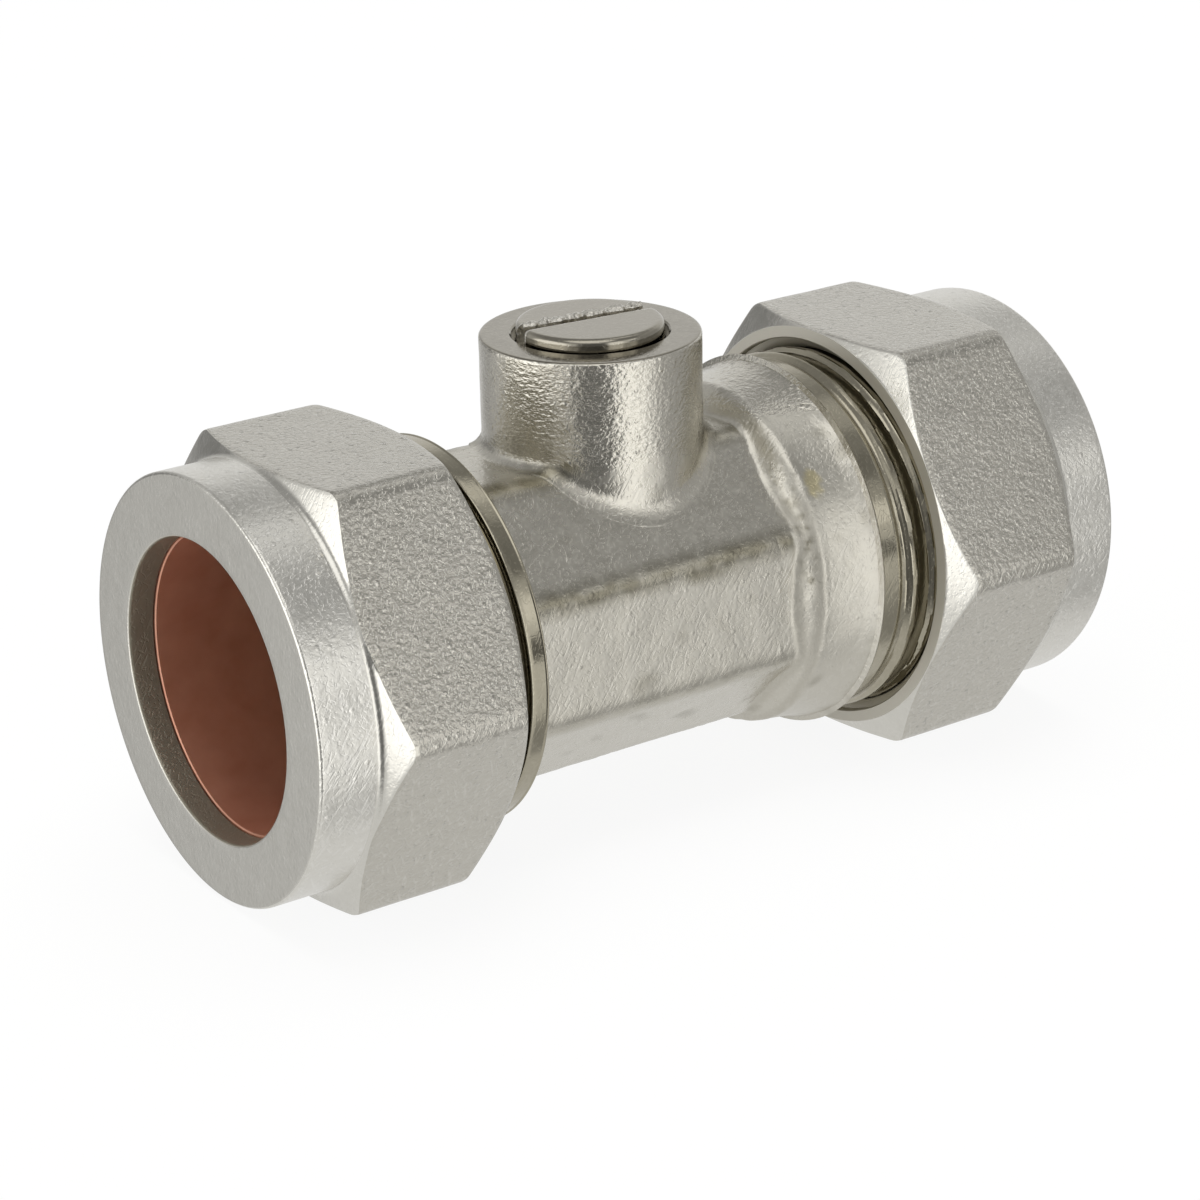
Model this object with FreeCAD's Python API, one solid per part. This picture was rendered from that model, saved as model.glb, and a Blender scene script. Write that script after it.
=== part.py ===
import FreeCAD, Part
import math
import os

Vector = FreeCAD.Vector

# Sizes are in millimetres, along the pipe from the stem axis and upwards from the pipe axis.

# How far a cutting shape runs past the metal that it cuts, and the slack for finding an edge by its place
cut_margin = 1.0
place_slack = 1e-4

# Pipe that the valve takes, and the room that each piece leaves round it
pipe_diameter = 15.0
socket_clearance = 0.10
olive_clearance = 0.05
nut_hole_clearance = 0.15

# Waist of the forged body, an octagon with a flat on top
waist_across_flats = 16.1
waist_corner_round = 1.6

# Stem boss
boss_diameter = 11.25
boss_top = 13.7
boss_rim_round = 0.15
boss_base_fillet = 0.6

# Round shoulders that the nuts run up to
shoulder_height = 0.3
left_shoulder = 10.75
left_ring_width = 1.0
left_ring_fillet = 0.5
right_shoulder = 11.2
right_shoulder_round = 0.3
barrel_start = 6.75
barrel_start_slope = 49.0
barrel_waist_diameter = 17.6
barrel_bulge_height = 0.12
barrel_fillet = 0.5
barrel_root_depth = 1.0

# Threaded spigots
left_end = 15.55
right_end = 18.5
spigot_wall = 1.0
land_depth = 0.2
land_length = 1.3
thread_half_depth = 0.4875
thread_clearance = 0.08
spigot_end_chamfer = 0.5

# Mouth of each spigot, a cone that the olive seats in
seat_cone_angle = 30.0
left_stop = 9.5
right_stop = 10.8

# Ball, its chamber and its seats
ball_diameter = 12.4
ball_bore = 8.0
port_diameter = 9.0
seat_bore = 8.6
seat_front = 3.9
seat_back = 6.3
seat_clearance = 0.05
chamber_clearance = 0.40
ball_slot_width = 2.3
ball_slot_floor = 4.75

# Ring that holds the right seat, with two slots for its key
retainer_diameter = 14.2
retainer_clearance = 0.03
retainer_runout = 0.5
retainer_key_width = 1.8
retainer_key_depth = 1.2

# Stem
stem_diameter = 7.5
stem_clearance = 0.06
stem_head_top = 14.32
stem_head_chamfer = 0.22
stem_slot_width = 1.0
stem_slot_depth = 1.1
stem_slot_offset = 0.45
stem_slot_turn = -6.0
stem_counterbore = 8.0
stem_counterbore_depth = 0.7
stem_counterbore_chamfer = 0.08
flange_diameter = 9.2
flange_bottom = 6.55
flange_height = 0.9
flange_pocket_clearance = 0.1
washer_thickness = 0.55
tang_clearance = 0.1
tang_length = 5.6

# Stem seals
o_ring_section = 1.0
o_ring_squeeze_gap = 0.02
o_ring_groove_width = 1.3
lower_groove_height = 9.1
upper_groove_height = 11.1

# Compression nut
nut_wall = 1.2
nut_length = 11.45
nut_corner_round = 1.0
nut_collar_step = 0.1
nut_collar_length = 3.3
nut_collar_fillet = 0.35
nut_collar_draft = 0.05
nut_chamfer_angle = 60.0
nut_rear_step = 0.2
nut_face_round = 0.4
nut_hole_round = 0.15
nut_mouth_wall = 1.0
nut_mouth_depth = 1.0

# Olive
olive_length = 7.4
olive_thickness = 1.2
olive_edge = 0.35
olive_depth_in_nut = 1.45
olive_seat_gap = 0.12

# Sizes that follow from those above
socket_radius = pipe_diameter / 2 + socket_clearance
olive_bore_radius = pipe_diameter / 2 + olive_clearance
nut_hole_radius = pipe_diameter / 2 + nut_hole_clearance
olive_edge_radius = olive_bore_radius + olive_edge
mouth_radius = olive_bore_radius + olive_thickness
thread_radius = mouth_radius + spigot_wall
land_radius = thread_radius - land_depth
shoulder_radius = thread_radius + shoulder_height
pitch_radius = thread_radius - thread_half_depth
spigot_radius = pitch_radius - thread_clearance / 2
nut_bore_radius = pitch_radius + thread_clearance / 2
seat_cone = math.tan(math.radians(seat_cone_angle))
chamber_radius = ball_diameter / 2 + chamber_clearance
retainer_radius = retainer_diameter / 2
stem_radius = stem_diameter / 2
stem_bore_radius = stem_radius + stem_clearance
flange_top = flange_bottom + flange_height
pocket_top = flange_top + washer_thickness
pocket_radius = flange_diameter / 2 + flange_pocket_clearance
nut_flat_radius = thread_radius + nut_wall
nut_mouth_radius = nut_flat_radius - nut_mouth_wall
olive_back = -(mouth_radius - olive_edge_radius) / seat_cone + olive_seat_gap
olive_front = olive_back + olive_length
nut_face = olive_front + olive_depth_in_nut
left_face = left_end + nut_face
right_face = right_end + nut_face
middle = (right_face - left_face) / 2
pipe_height = nut_flat_radius

# Sides of the waist's octagon and of the nut's hexagon
WAIST_SIDES = 8
NUT_SIDES = 6

X_AXIS = Vector(1, 0, 0)
Z_AXIS = Vector(0, 0, 1)
ORIGIN = Vector(0, 0, 0)

# Greatest angle between an edge and an axis that it is said to run along
run_angle = 18.0


def outline(steps, to_vector):
    """A closed face. Two numbers end a line, and four are an arc by way of a point to its end."""
    here = to_vector(*steps[0])
    edges = []
    for step in steps[1:] + steps[:1]:
        there = to_vector(*step[-2:])
        if len(step) == 4:
            edges.append(Part.Arc(here, to_vector(*step[:2]), there).toShape())
        elif here.distanceToPoint(there) > place_slack:
            edges.append(Part.makeLine(here, there))
        here = there
    return Part.Face(Part.Wire(edges))


def runs_along(edge, axis):
    """Whether the middle of an edge runs along an axis."""
    tangent = edge.tangentAt((edge.FirstParameter + edge.LastParameter) / 2)
    return abs(tangent.dot(axis)) > math.cos(math.radians(run_angle))


def turned_on_pipe(steps):
    """A solid turned about the pipe axis from (x, radius) steps."""
    return outline(steps, lambda x, r: Vector(x, 0, r)).revolve(ORIGIN, X_AXIS, 360)


def turned_on_stem(steps):
    """A solid turned about the stem axis from (radius, z) steps."""
    return outline(steps, lambda r, z: Vector(r, 0, z)).revolve(ORIGIN, Z_AXIS, 360)


def polygon_bar(sides, across_flats, start, end, corner_round):
    """A bar along the pipe with a flat on top and rounded corners."""
    radius = across_flats / 2 / math.cos(math.pi / sides)
    corners = []
    for k in range(sides + 1):
        angle = math.pi / 2 + math.pi * (2 * k + 1) / sides
        corners.append(Vector(start, radius * math.cos(angle), radius * math.sin(angle)))
    bar = Part.Face(Part.makePolygon(corners)).extrude(Vector(end - start, 0, 0))
    return bar.makeFillet(corner_round, [e for e in bar.Edges if runs_along(e, X_AXIS)])


def round_corner(corner, before, after, radius):
    """Start, middle and end of the arc that rounds a corner of an outline."""
    to_before = (before - corner).normalize()
    to_after = (after - corner).normalize()
    half = to_before.getAngle(to_after) / 2
    start = corner + to_before * (radius / math.tan(half))
    end = corner + to_after * (radius / math.tan(half))
    bisector = (to_before + to_after).normalize()
    middle_point = corner + bisector * (radius / math.sin(half) - radius)
    return start, middle_point, end


def rounded(steps, radii):
    """Steps of an outline whose corners are rounded by the radii that stand beside them."""
    points = [Vector(a, b, 0) for a, b in steps]
    out = []
    for k, radius in enumerate(radii):
        if radius == 0:
            out.append((points[k].x, points[k].y))
            continue
        start, mid, end = round_corner(points[k], points[k - 1], points[(k + 1) % len(points)], radius)
        out.append((start.x, start.y))
        out.append((mid.x, mid.y, end.x, end.y))
    return out


def flat_edges(shape, axis, place):
    """The edges of a shape that lie in a plane across X or Z."""
    found = []
    for edge in shape.Edges:
        box = edge.BoundBox
        low, high = (box.XMin, box.XMax) if axis == X_AXIS else (box.ZMin, box.ZMax)
        if abs(low - place) < place_slack and abs(high - place) < place_slack:
            found.append(edge)
    return found


def short_edges(edges, longest):
    """Those edges whose box is smaller than a length."""
    return [e for e in edges if e.BoundBox.DiagonalLength < longest]


def spigot(shoulder, end):
    """One threaded end, drawn to the right: a land by the shoulder, then the cylinder of the thread."""
    land_end = shoulder + land_length
    return turned_on_pipe([
        (shoulder - left_ring_width, 0),
        (shoulder - left_ring_width, land_radius),
        (land_end, land_radius),
        (land_end, spigot_radius),
        (end - spigot_end_chamfer, spigot_radius),
        (end, spigot_radius - spigot_end_chamfer),
        (end, 0)])


def right_barrel():
    """The round, flared end of the forging, from the waist out to the right shoulder."""
    root_radius = waist_across_flats / 2 - barrel_root_depth
    neck_radius = barrel_waist_diameter / 2
    slope = math.tan(math.radians(barrel_start_slope))
    start = barrel_start - barrel_root_depth / slope
    flare = start + (neck_radius - root_radius) / slope
    bulge_x = (flare + right_shoulder) / 2
    bulge_radius = (neck_radius + shoulder_radius) / 2 + barrel_bulge_height
    barrel = turned_on_pipe([
        (start, 0),
        (start, root_radius),
        (flare, neck_radius),
        (bulge_x, bulge_radius, right_shoulder, shoulder_radius),
        (right_shoulder, 0)])
    return barrel.makeFillet(right_shoulder_round, flat_edges(barrel, X_AXIS, right_shoulder))


def waist_and_shoulders():
    """Eight-sided waist between the left ring and the right barrel, with both joins filleted."""
    ring_side = -left_shoulder + left_ring_width
    waist_end = right_shoulder - barrel_root_depth
    waist_start = -left_shoulder + left_ring_width / 2
    waist = polygon_bar(WAIST_SIDES, waist_across_flats, waist_start, waist_end, waist_corner_round)
    ring = Part.makeCylinder(shoulder_radius, left_ring_width, Vector(-left_shoulder, 0, 0), X_AXIS)
    forging = waist.fuse([ring, right_barrel()]).removeSplitter()
    one_flat = waist_across_flats / 2
    ring_foot = flat_edges(forging, X_AXIS, ring_side)
    forging = forging.makeFillet(left_ring_fillet, short_edges(ring_foot, one_flat))
    crease_from = ring_side + one_flat
    crease = [e for e in forging.Edges if e.BoundBox.XMin > crease_from and e.BoundBox.XMax < waist_end]
    return forging.makeFillet(barrel_fillet, short_edges(crease, one_flat))


def boss_foot(forging):
    """The edges where the boss's side meets the waist."""
    found = []
    for edge in forging.Edges:
        ends = [edge.valueAt(edge.FirstParameter), edge.valueAt(edge.LastParameter)]
        on_side = all(abs(math.hypot(p.x, p.y) - boss_diameter / 2) < place_slack for p in ends)
        below_rim = 0 < edge.CenterOfMass.z < boss_top - place_slack
        if on_side and below_rim and not runs_along(edge, Z_AXIS):
            found.append(edge)
    return found


def body_outside():
    """The forging with its turned ends, still solid inside."""
    boss = Part.makeCylinder(boss_diameter / 2, boss_top, ORIGIN, Z_AXIS)
    forging = waist_and_shoulders().fuse(boss).removeSplitter()
    forging = forging.makeFillet(boss_base_fillet, boss_foot(forging))
    forging = forging.makeFillet(boss_rim_round, flat_edges(forging, Z_AXIS, boss_top))
    left_spigot = spigot(left_shoulder, left_end).mirror(ORIGIN, X_AXIS)
    return forging.fuse([left_spigot, spigot(right_shoulder, right_end)]).removeSplitter()


def body_waterway():
    """The room inside: mouths, sockets, the left port, the ball chamber and the bore of the retainer."""
    mouth_length = (mouth_radius - socket_radius) / seat_cone
    retainer_start = seat_back - retainer_runout
    return turned_on_pipe([
        (-left_end - cut_margin, 0),
        (-left_end - cut_margin, mouth_radius),
        (-left_end, mouth_radius),
        (-left_end + mouth_length, socket_radius),
        (-left_stop, socket_radius),
        (-left_stop, port_diameter / 2),
        (-seat_back, port_diameter / 2),
        (-seat_back, chamber_radius),
        (retainer_start, chamber_radius),
        (retainer_start, retainer_radius),
        (right_stop, retainer_radius),
        (right_stop, socket_radius),
        (right_end - mouth_length, socket_radius),
        (right_end, mouth_radius),
        (right_end + cut_margin, mouth_radius),
        (right_end + cut_margin, 0)])


def stem_passage():
    """The bore down the boss, with a pocket for the flange under it and a counterbore round the head."""
    counterbore_radius = stem_counterbore / 2
    counterbore_floor = boss_top - stem_counterbore_depth
    return turned_on_stem([
        (0, 0),
        (pocket_radius, 0),
        (pocket_radius, pocket_top),
        (stem_bore_radius, pocket_top),
        (stem_bore_radius, counterbore_floor),
        (counterbore_radius, counterbore_floor),
        (counterbore_radius, boss_top - stem_counterbore_chamfer),
        (counterbore_radius + stem_counterbore_chamfer, boss_top),
        (counterbore_radius + stem_counterbore_chamfer, boss_top + cut_margin),
        (0, boss_top + cut_margin)])


def make_body():
    """Forged and turned brass body."""
    return body_outside().cut(body_waterway()).cut(stem_passage())


def make_ball():
    """Ball bored through along the pipe, slotted across its top for the tang."""
    radius = ball_diameter / 2
    ball = Part.makeSphere(radius)
    bore = Part.makeCylinder(ball_bore / 2, ball_diameter, Vector(-radius, 0, 0), X_AXIS)
    slot = Part.makeBox(ball_slot_width, ball_diameter, radius,
                        Vector(-ball_slot_width / 2, -radius, ball_slot_floor))
    return ball.cut(bore).cut(slot)


def make_seat(side):
    """Seat ring with a hollow face that follows the ball."""
    outer = chamber_radius - seat_clearance
    ring = turned_on_pipe([
        (seat_front, seat_bore / 2),
        (seat_back, seat_bore / 2),
        (seat_back, outer),
        (seat_front, outer)])
    ring = ring.cut(Part.makeSphere(ball_diameter / 2 + seat_clearance))
    return ring if side > 0 else ring.mirror(ORIGIN, X_AXIS)


def make_retainer():
    """Ring behind the right seat, with two slots in its outer face."""
    radius = retainer_radius - retainer_clearance
    ring = turned_on_pipe([
        (seat_back, port_diameter / 2),
        (right_stop, port_diameter / 2),
        (right_stop, radius),
        (seat_back, radius)])
    key = Part.makeBox(retainer_key_depth, retainer_diameter, retainer_key_width,
                       Vector(right_stop - retainer_key_depth, -retainer_radius, -retainer_key_width / 2))
    return ring.cut(key)


def o_ring_groove_floor():
    """Radius of the floor of a seal groove."""
    return stem_bore_radius - o_ring_squeeze_gap - o_ring_section


def make_stem():
    """Stem with its slotted head, two seal grooves, a flange that can't pass the boss, and a tang."""
    floor = o_ring_groove_floor()
    flange_radius = flange_diameter / 2
    steps = [
        (0, flange_bottom),
        (flange_radius, flange_bottom),
        (flange_radius, flange_top),
        (stem_radius, flange_top)]
    for height in (lower_groove_height, upper_groove_height):
        low = height - o_ring_groove_width / 2
        high = height + o_ring_groove_width / 2
        steps += [(stem_radius, low), (floor, low), (floor, high), (stem_radius, high)]
    steps += [
        (stem_radius, stem_head_top - stem_head_chamfer),
        (stem_radius - stem_head_chamfer, stem_head_top),
        (0, stem_head_top)]
    stem = turned_on_stem(steps)
    slot_floor = stem_head_top - stem_slot_depth
    slot_corner = Vector(-stem_diameter, stem_slot_offset - stem_slot_width / 2, slot_floor)
    slot = Part.makeBox(2 * stem_diameter, stem_slot_width, stem_slot_depth + cut_margin, slot_corner)
    slot = slot.rotate(ORIGIN, Z_AXIS, stem_slot_turn)
    tang_width = ball_slot_width - tang_clearance
    tang_bottom = ball_slot_floor + tang_clearance
    tang = Part.makeBox(tang_width, tang_length, flange_bottom - tang_bottom,
                        Vector(-tang_width / 2, -tang_length / 2, tang_bottom))
    return stem.cut(slot).fuse(tang).removeSplitter()


def make_o_ring(height):
    """Round rubber ring in one of the stem's grooves."""
    ring_radius = o_ring_groove_floor() + o_ring_section / 2
    return Part.makeTorus(ring_radius, o_ring_section / 2, Vector(0, 0, height), Z_AXIS)


def make_washer():
    """Flat ring that the stem's flange turns against."""
    blank = Part.makeCylinder(flange_diameter / 2, washer_thickness, Vector(0, 0, flange_top), Z_AXIS)
    return blank.cut(Part.makeCylinder(stem_bore_radius, washer_thickness, Vector(0, 0, flange_top), Z_AXIS))


def nut_outside(rear):
    """Turned form that trims the nut's hexagon: rear chamfer, front chamfer and the round collar."""
    rise = math.tan(math.radians(nut_chamfer_angle))
    corner_radius = nut_flat_radius / math.cos(math.pi / NUT_SIDES) + cut_margin
    collar_radius = nut_flat_radius - nut_collar_step
    rear_radius = nut_flat_radius - nut_rear_step
    collar_start = nut_face - nut_collar_length
    collar_foot = collar_radius + nut_collar_draft
    corners = [
        (rear, 0),
        (rear, rear_radius),
        (rear + (corner_radius - rear_radius) / rise, corner_radius),
        (collar_start - (corner_radius - collar_foot) / rise, corner_radius),
        (collar_start, collar_foot),
        (nut_face, collar_radius),
        (nut_face, 0)]
    return turned_on_pipe(rounded(corners, [0, 0, 0, 0, nut_collar_fillet, nut_face_round, 0]))


def nut_inside(rear):
    """Room inside the nut: mouth, thread bore, the cone that presses the olive, and the pipe hole."""
    cone_end = olive_front + olive_seat_gap + (olive_edge_radius - nut_hole_radius) / seat_cone
    cone_start = cone_end - (nut_bore_radius - nut_hole_radius) / seat_cone
    corners = [
        (rear - cut_margin, 0),
        (rear - cut_margin, nut_mouth_radius),
        (rear, nut_mouth_radius),
        (rear + nut_mouth_depth, nut_bore_radius),
        (cone_start, nut_bore_radius),
        (cone_end, nut_hole_radius),
        (nut_face - nut_hole_round, nut_hole_radius),
        (nut_face, nut_hole_radius + nut_hole_round),
        (nut_face + cut_margin, nut_hole_radius + nut_hole_round),
        (nut_face + cut_margin, 0)]
    return turned_on_pipe(corners)


def make_nut():
    """Compression nut, drawn for a spigot that ends at x = 0 and points to +X."""
    rear = nut_face - nut_length
    blank = polygon_bar(NUT_SIDES, 2 * nut_flat_radius, rear, nut_face, nut_corner_round)
    return blank.common(nut_outside(rear)).cut(nut_inside(rear))


def make_olive():
    """Compression ring, drawn like the nut: a band between two cones."""
    cone_length = (mouth_radius - olive_edge_radius) / seat_cone
    return turned_on_pipe([
        (olive_back, olive_bore_radius),
        (olive_front, olive_bore_radius),
        (olive_front, olive_edge_radius),
        (olive_front - cone_length, mouth_radius),
        (olive_back + cone_length, mouth_radius),
        (olive_back, olive_edge_radius)])


def at_left(shape):
    """A piece drawn for a spigot end at x = 0, set on the left spigot."""
    return shape.mirror(ORIGIN, X_AXIS).translated(Vector(-left_end, 0, 0))


def at_right(shape):
    """A piece drawn for a spigot end at x = 0, set on the right spigot."""
    return shape.translated(Vector(right_end, 0, 0))


def main():
    """Builds every piece, stands the valve on its nuts over the origin, and writes the files."""
    nut = make_nut()
    olive = make_olive()
    pieces = {
        "body": make_body(),
        "ball": make_ball(),
        "stem": make_stem(),
        "stem_o_ring_lower": make_o_ring(lower_groove_height),
        "stem_o_ring_upper": make_o_ring(upper_groove_height),
        "stem_thrust_washer": make_washer(),
        "seat_left": make_seat(-1),
        "seat_right": make_seat(1),
        "seat_retainer": make_retainer(),
        "left_nut": at_left(nut),
        "right_nut": at_right(nut),
        "left_olive": at_left(olive),
        "right_olive": at_right(olive),
    }
    os.makedirs("parts", exist_ok=True)
    for name, shape in pieces.items():
        placed = shape.translated(Vector(-middle, 0, pipe_height))
        placed.exportStep(os.path.join("parts", name + ".step"))
        print(name, len(placed.Solids), placed.isValid(), round(placed.Volume, 2))


main()
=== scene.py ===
"""Looks of an isolating valve for 15 mm pipe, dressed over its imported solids."""

import logging
from collections.abc import Callable, Sequence
from dataclasses import dataclass
from enum import Enum
from math import atan2, ceil, cos, hypot, pi, radians, sin, sqrt, tan
from typing import Any

import bmesh
import bpy
from bmesh.types import BMesh, BMVert
from bpy.types import Material, Node, NodeSocket, NodeTree, Object
from mathutils import Matrix, Vector
from mathutils.noise import noise


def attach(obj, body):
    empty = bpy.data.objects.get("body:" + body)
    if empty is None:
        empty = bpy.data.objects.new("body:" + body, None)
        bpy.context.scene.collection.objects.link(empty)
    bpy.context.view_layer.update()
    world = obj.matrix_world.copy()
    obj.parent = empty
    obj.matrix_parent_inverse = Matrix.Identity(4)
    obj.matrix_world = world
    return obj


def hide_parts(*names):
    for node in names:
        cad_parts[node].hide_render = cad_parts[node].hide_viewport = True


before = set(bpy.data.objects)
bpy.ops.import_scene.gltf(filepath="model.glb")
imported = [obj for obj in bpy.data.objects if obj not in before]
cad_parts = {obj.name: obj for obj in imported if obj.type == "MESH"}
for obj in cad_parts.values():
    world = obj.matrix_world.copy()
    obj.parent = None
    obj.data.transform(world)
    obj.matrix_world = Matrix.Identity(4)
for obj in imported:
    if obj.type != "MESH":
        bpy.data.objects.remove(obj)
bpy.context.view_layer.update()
log = logging.getLogger("isolating_valve")

# Sizes below are in millimetres, along the pipe from the stem axis and upwards from the pipe axis
MM = 0.001
STEM_TO_ROW = Vector((-1.475, 0.0, 10.95))
MERGE_DISTANCE = 1e-4
SECTORS = 16
RUBBED = "rubbed"
BARE = "bare"
MATT = "matt"
WHITE = (1.0, 1.0, 1.0, 1.0)

Row = tuple[float, float]


class Axis(Enum):
    """Axis that a turned form is spun about."""

    PIPE = (1.0, 0.0, 0.0)
    STEM = (0.0, 0.0, 1.0)

    def point(self, along: float, radius: float) -> Vector:
        """Place of a profile's row, straight up from the pipe or straight out from the stem.

        Args:
            along: Place along the axis.
            radius: Distance from the axis.

        Returns:
            The place.
        """
        if self is Axis.PIPE:
            return Vector((along, 0.0, radius))
        return Vector((radius, 0.0, along))


class End(Enum):
    """End of the valve, with its direction along the pipe."""

    LEFT = -1.0
    RIGHT = 1.0

    @property
    def word(self) -> str:
        """Name of the end as the nodes spell it."""
        return self.name.lower()

    def place(self, spigot_end: float, out: float) -> float:
        """Place along the pipe of a length outwards from a spigot's end."""
        return self.value * (abs(spigot_end) + out)


def stations(start: float, end: float, step: float) -> list[float]:
    """Evenly spaced places from a start to an end.

    Args:
        start: First place.
        end: Last place.
        step: Widest space between two places.

    Returns:
        The places in order, both ends included.
    """
    count = max(1, ceil(abs(end - start) / step))
    return [start + (end - start) * k / count for k in range(count + 1)]


def arc(centre: Row, radius: float, start: float, end: float, count: int) -> list[Row]:
    """Rows along a round of a profile.

    Args:
        centre: Centre of the round, along and out.
        radius: Radius of the round.
        start: First angle in degrees, from the way along towards the way out.
        end: Last angle in degrees.
        count: Number of steps between them.

    Returns:
        The rows in order.
    """
    angles = [radians(start + (end - start) * k / count) for k in range(count + 1)]
    return [(centre[0] + radius * cos(a), centre[1] + radius * sin(a)) for a in angles]


def level(radius: float, start: float, end: float, step: float) -> list[Row]:
    """Rows at one radius, evenly spaced from a start to an end."""
    return [(place, radius) for place in stations(start, end, step)]


def smooth_most(a: float, b: float, blend: float) -> float:
    """Greater of two heights, rounded over where they meet within the blend."""
    overlap = max(blend - abs(a - b), 0.0) / blend
    return max(a, b) + overlap * overlap * blend / 4


def smooth_least(a: float, b: float, blend: float) -> float:
    """Lesser of two heights, rounded over where they meet within the blend."""
    return -smooth_most(-a, -b, blend)


def polygon_radius(angle: float, sides: int, flat: float, corner: float) -> float:
    """Radius of a regular polygon with round corners and a flat on top.

    Args:
        angle: Angle from the top.
        sides: Number of flats.
        flat: Distance from the centre to a flat.
        corner: Radius of the round corners.

    Returns:
        Distance from the centre to the outline.
    """
    half = pi / sides
    from_flat = abs((angle + half) % (2 * half) - half)
    core = flat - corner
    if from_flat <= atan2(core * tan(half), flat):
        return flat / cos(from_flat)
    reach = core / cos(half)
    beside = reach * sin(half - from_flat)
    return reach * cos(half - from_flat) + sqrt(max(corner**2 - beside**2, 0.0))


def spun(rows: Sequence[Row], axis: Axis, segments: int) -> BMesh:
    """Spin a run of rows once round an axis, one sector first and then its copies.

    Args:
        rows: Profile as places along the axis and radii.
        axis: Axis of the spin.
        segments: Number of steps round, a multiple of the number of sectors.

    Returns:
        A mesh of the shell, open at the ends of the run.
    """
    mesh = bmesh.new()
    chain = [mesh.verts.new(axis.point(*row)) for row in rows]
    links = [mesh.edges.new(pair) for pair in zip(chain, chain[1:])]
    angle = 2 * pi / SECTORS
    bmesh.ops.spin(mesh, geom=chain + links, cent=(0, 0, 0), axis=axis.value, dvec=(0, 0, 0),
                   angle=angle, steps=segments // SECTORS)
    for _ in range(SECTORS.bit_length() - 1):
        copy = bmesh.ops.duplicate(mesh, geom=[*mesh.verts, *mesh.edges, *mesh.faces])["geom"]
        moved = [part for part in copy if isinstance(part, BMVert)]
        bmesh.ops.rotate(mesh, verts=moved, cent=(0, 0, 0), matrix=Matrix.Rotation(angle, 3, axis.value))
        angle *= 2
    bmesh.ops.remove_doubles(mesh, verts=mesh.verts, dist=MERGE_DISTANCE)
    return mesh


def join(mesh: BMesh, part: BMesh) -> None:
    """Add a part to a mesh and free the part.

    Args:
        mesh: Mesh that gets the part.
        part: Mesh to add.
    """
    scrap = bpy.data.meshes.new("part")
    part.to_mesh(scrap)
    part.free()
    mesh.from_mesh(scrap)
    bpy.data.meshes.remove(scrap)


def pull_to(vertices: Sequence[BMVert], radius_at: Callable[[Vector, float, float], float]) -> None:
    """Move vertices straight out from the pipe axis.

    Args:
        vertices: Vertices to move.
        radius_at: Gives the new radius from a place, its angle from the top and its radius.
    """
    for vertex in vertices:
        place = vertex.co
        radius = hypot(place.y, place.z)
        wanted = radius_at(place, atan2(place.y, place.z), radius)
        place.y *= wanted / radius
        place.z *= wanted / radius


def close_shell(mesh: BMesh) -> None:
    """Merge the seams and poles of a mesh and turn its faces outwards."""
    bmesh.ops.remove_doubles(mesh, verts=mesh.verts, dist=MERGE_DISTANCE)
    bmesh.ops.recalc_face_normals(mesh, faces=mesh.faces)


def give_finishes(mesh: BMesh, finish_index: Callable[[Vector], int]) -> None:
    """Give each face the number of its finish.

    Args:
        mesh: Mesh to dress.
        finish_index: Gives the number from the middle of a face.
    """
    for face in mesh.faces:
        face.material_index = finish_index(face.calc_center_median())


def make_object(mesh: BMesh, name: str, finishes: Sequence[Material],
                sharp: float = 35.0) -> Object:
    """Make a finished mesh an object in the row frame.

    Args:
        mesh: Mesh in millimetres in the stem's frame. It is freed.
        name: Name of the piece.
        finishes: Materials in the order of the faces' indices.
        sharp: Angle in degrees past which an edge stays sharp.

    Returns:
        The object, at the origin, with its place in its mesh.
    """
    bmesh.ops.translate(mesh, verts=mesh.verts, vec=STEM_TO_ROW)
    bmesh.ops.scale(mesh, verts=mesh.verts, vec=(MM, MM, MM))
    data = bpy.data.meshes.new(name)
    mesh.to_mesh(data)
    mesh.free()
    data.shade_smooth()
    data.set_sharp_from_angle(angle=radians(sharp))
    for finish in finishes:
        data.materials.append(finish)
    piece = bpy.data.objects.new(name, data)
    bpy.context.collection.objects.link(piece)
    return piece


def linear(code: str) -> tuple[float, float, float, float]:
    """Linear colour of an sRGB hex value.

    Args:
        code: Number sign and six hex digits.

    Returns:
        Red, green, blue and alpha.
    """
    parts = [int(code[k:k + 2], 16) / 255 for k in (1, 3, 5)]
    red, green, blue = [p / 12.92 if p <= 0.04045 else ((p + 0.055) / 1.055) ** 2.4 for p in parts]
    return red, green, blue, 1.0


def grey(shade: float) -> tuple[float, float, float, float]:
    """Linear colour of a level of grey."""
    return shade, shade, shade, 1.0


def per_metre(size: float) -> float:
    """Scale of a pattern whose grain has a size in millimetres."""
    return 1 / (size * MM)


def add_node(tree: NodeTree, kind: str, inputs: dict[str | int, Any] | None = None,
             **settings: Any) -> Node:
    """Add a node with its settings and links.

    Args:
        tree: Node tree that gets the node.
        kind: Blender's name of the node, without the word that all shader nodes share.
        inputs: Value or linked output of each named input.
        **settings: The node's own settings.

    Returns:
        The node.
    """
    node = tree.nodes.new(f"ShaderNode{kind}")
    for name, value in settings.items():
        setattr(node, name, value)
    for name, value in (inputs or {}).items():
        if isinstance(value, NodeSocket):
            tree.links.new(value, node.inputs[name])
        else:
            node.inputs[name].default_value = value
    return node


def new_surface(name: str, inputs: dict[str, Any]) -> tuple[Material, Node]:
    """Start a material.

    Args:
        name: Name of the finish.
        inputs: Values that are the same all over the surface.

    Returns:
        The material and its Principled node.
    """
    material = bpy.data.materials.new(name)
    material.use_nodes = True
    surface = material.node_tree.nodes["Principled BSDF"]
    for socket, value in inputs.items():
        surface.inputs[socket].default_value = value
    return material, surface


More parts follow.
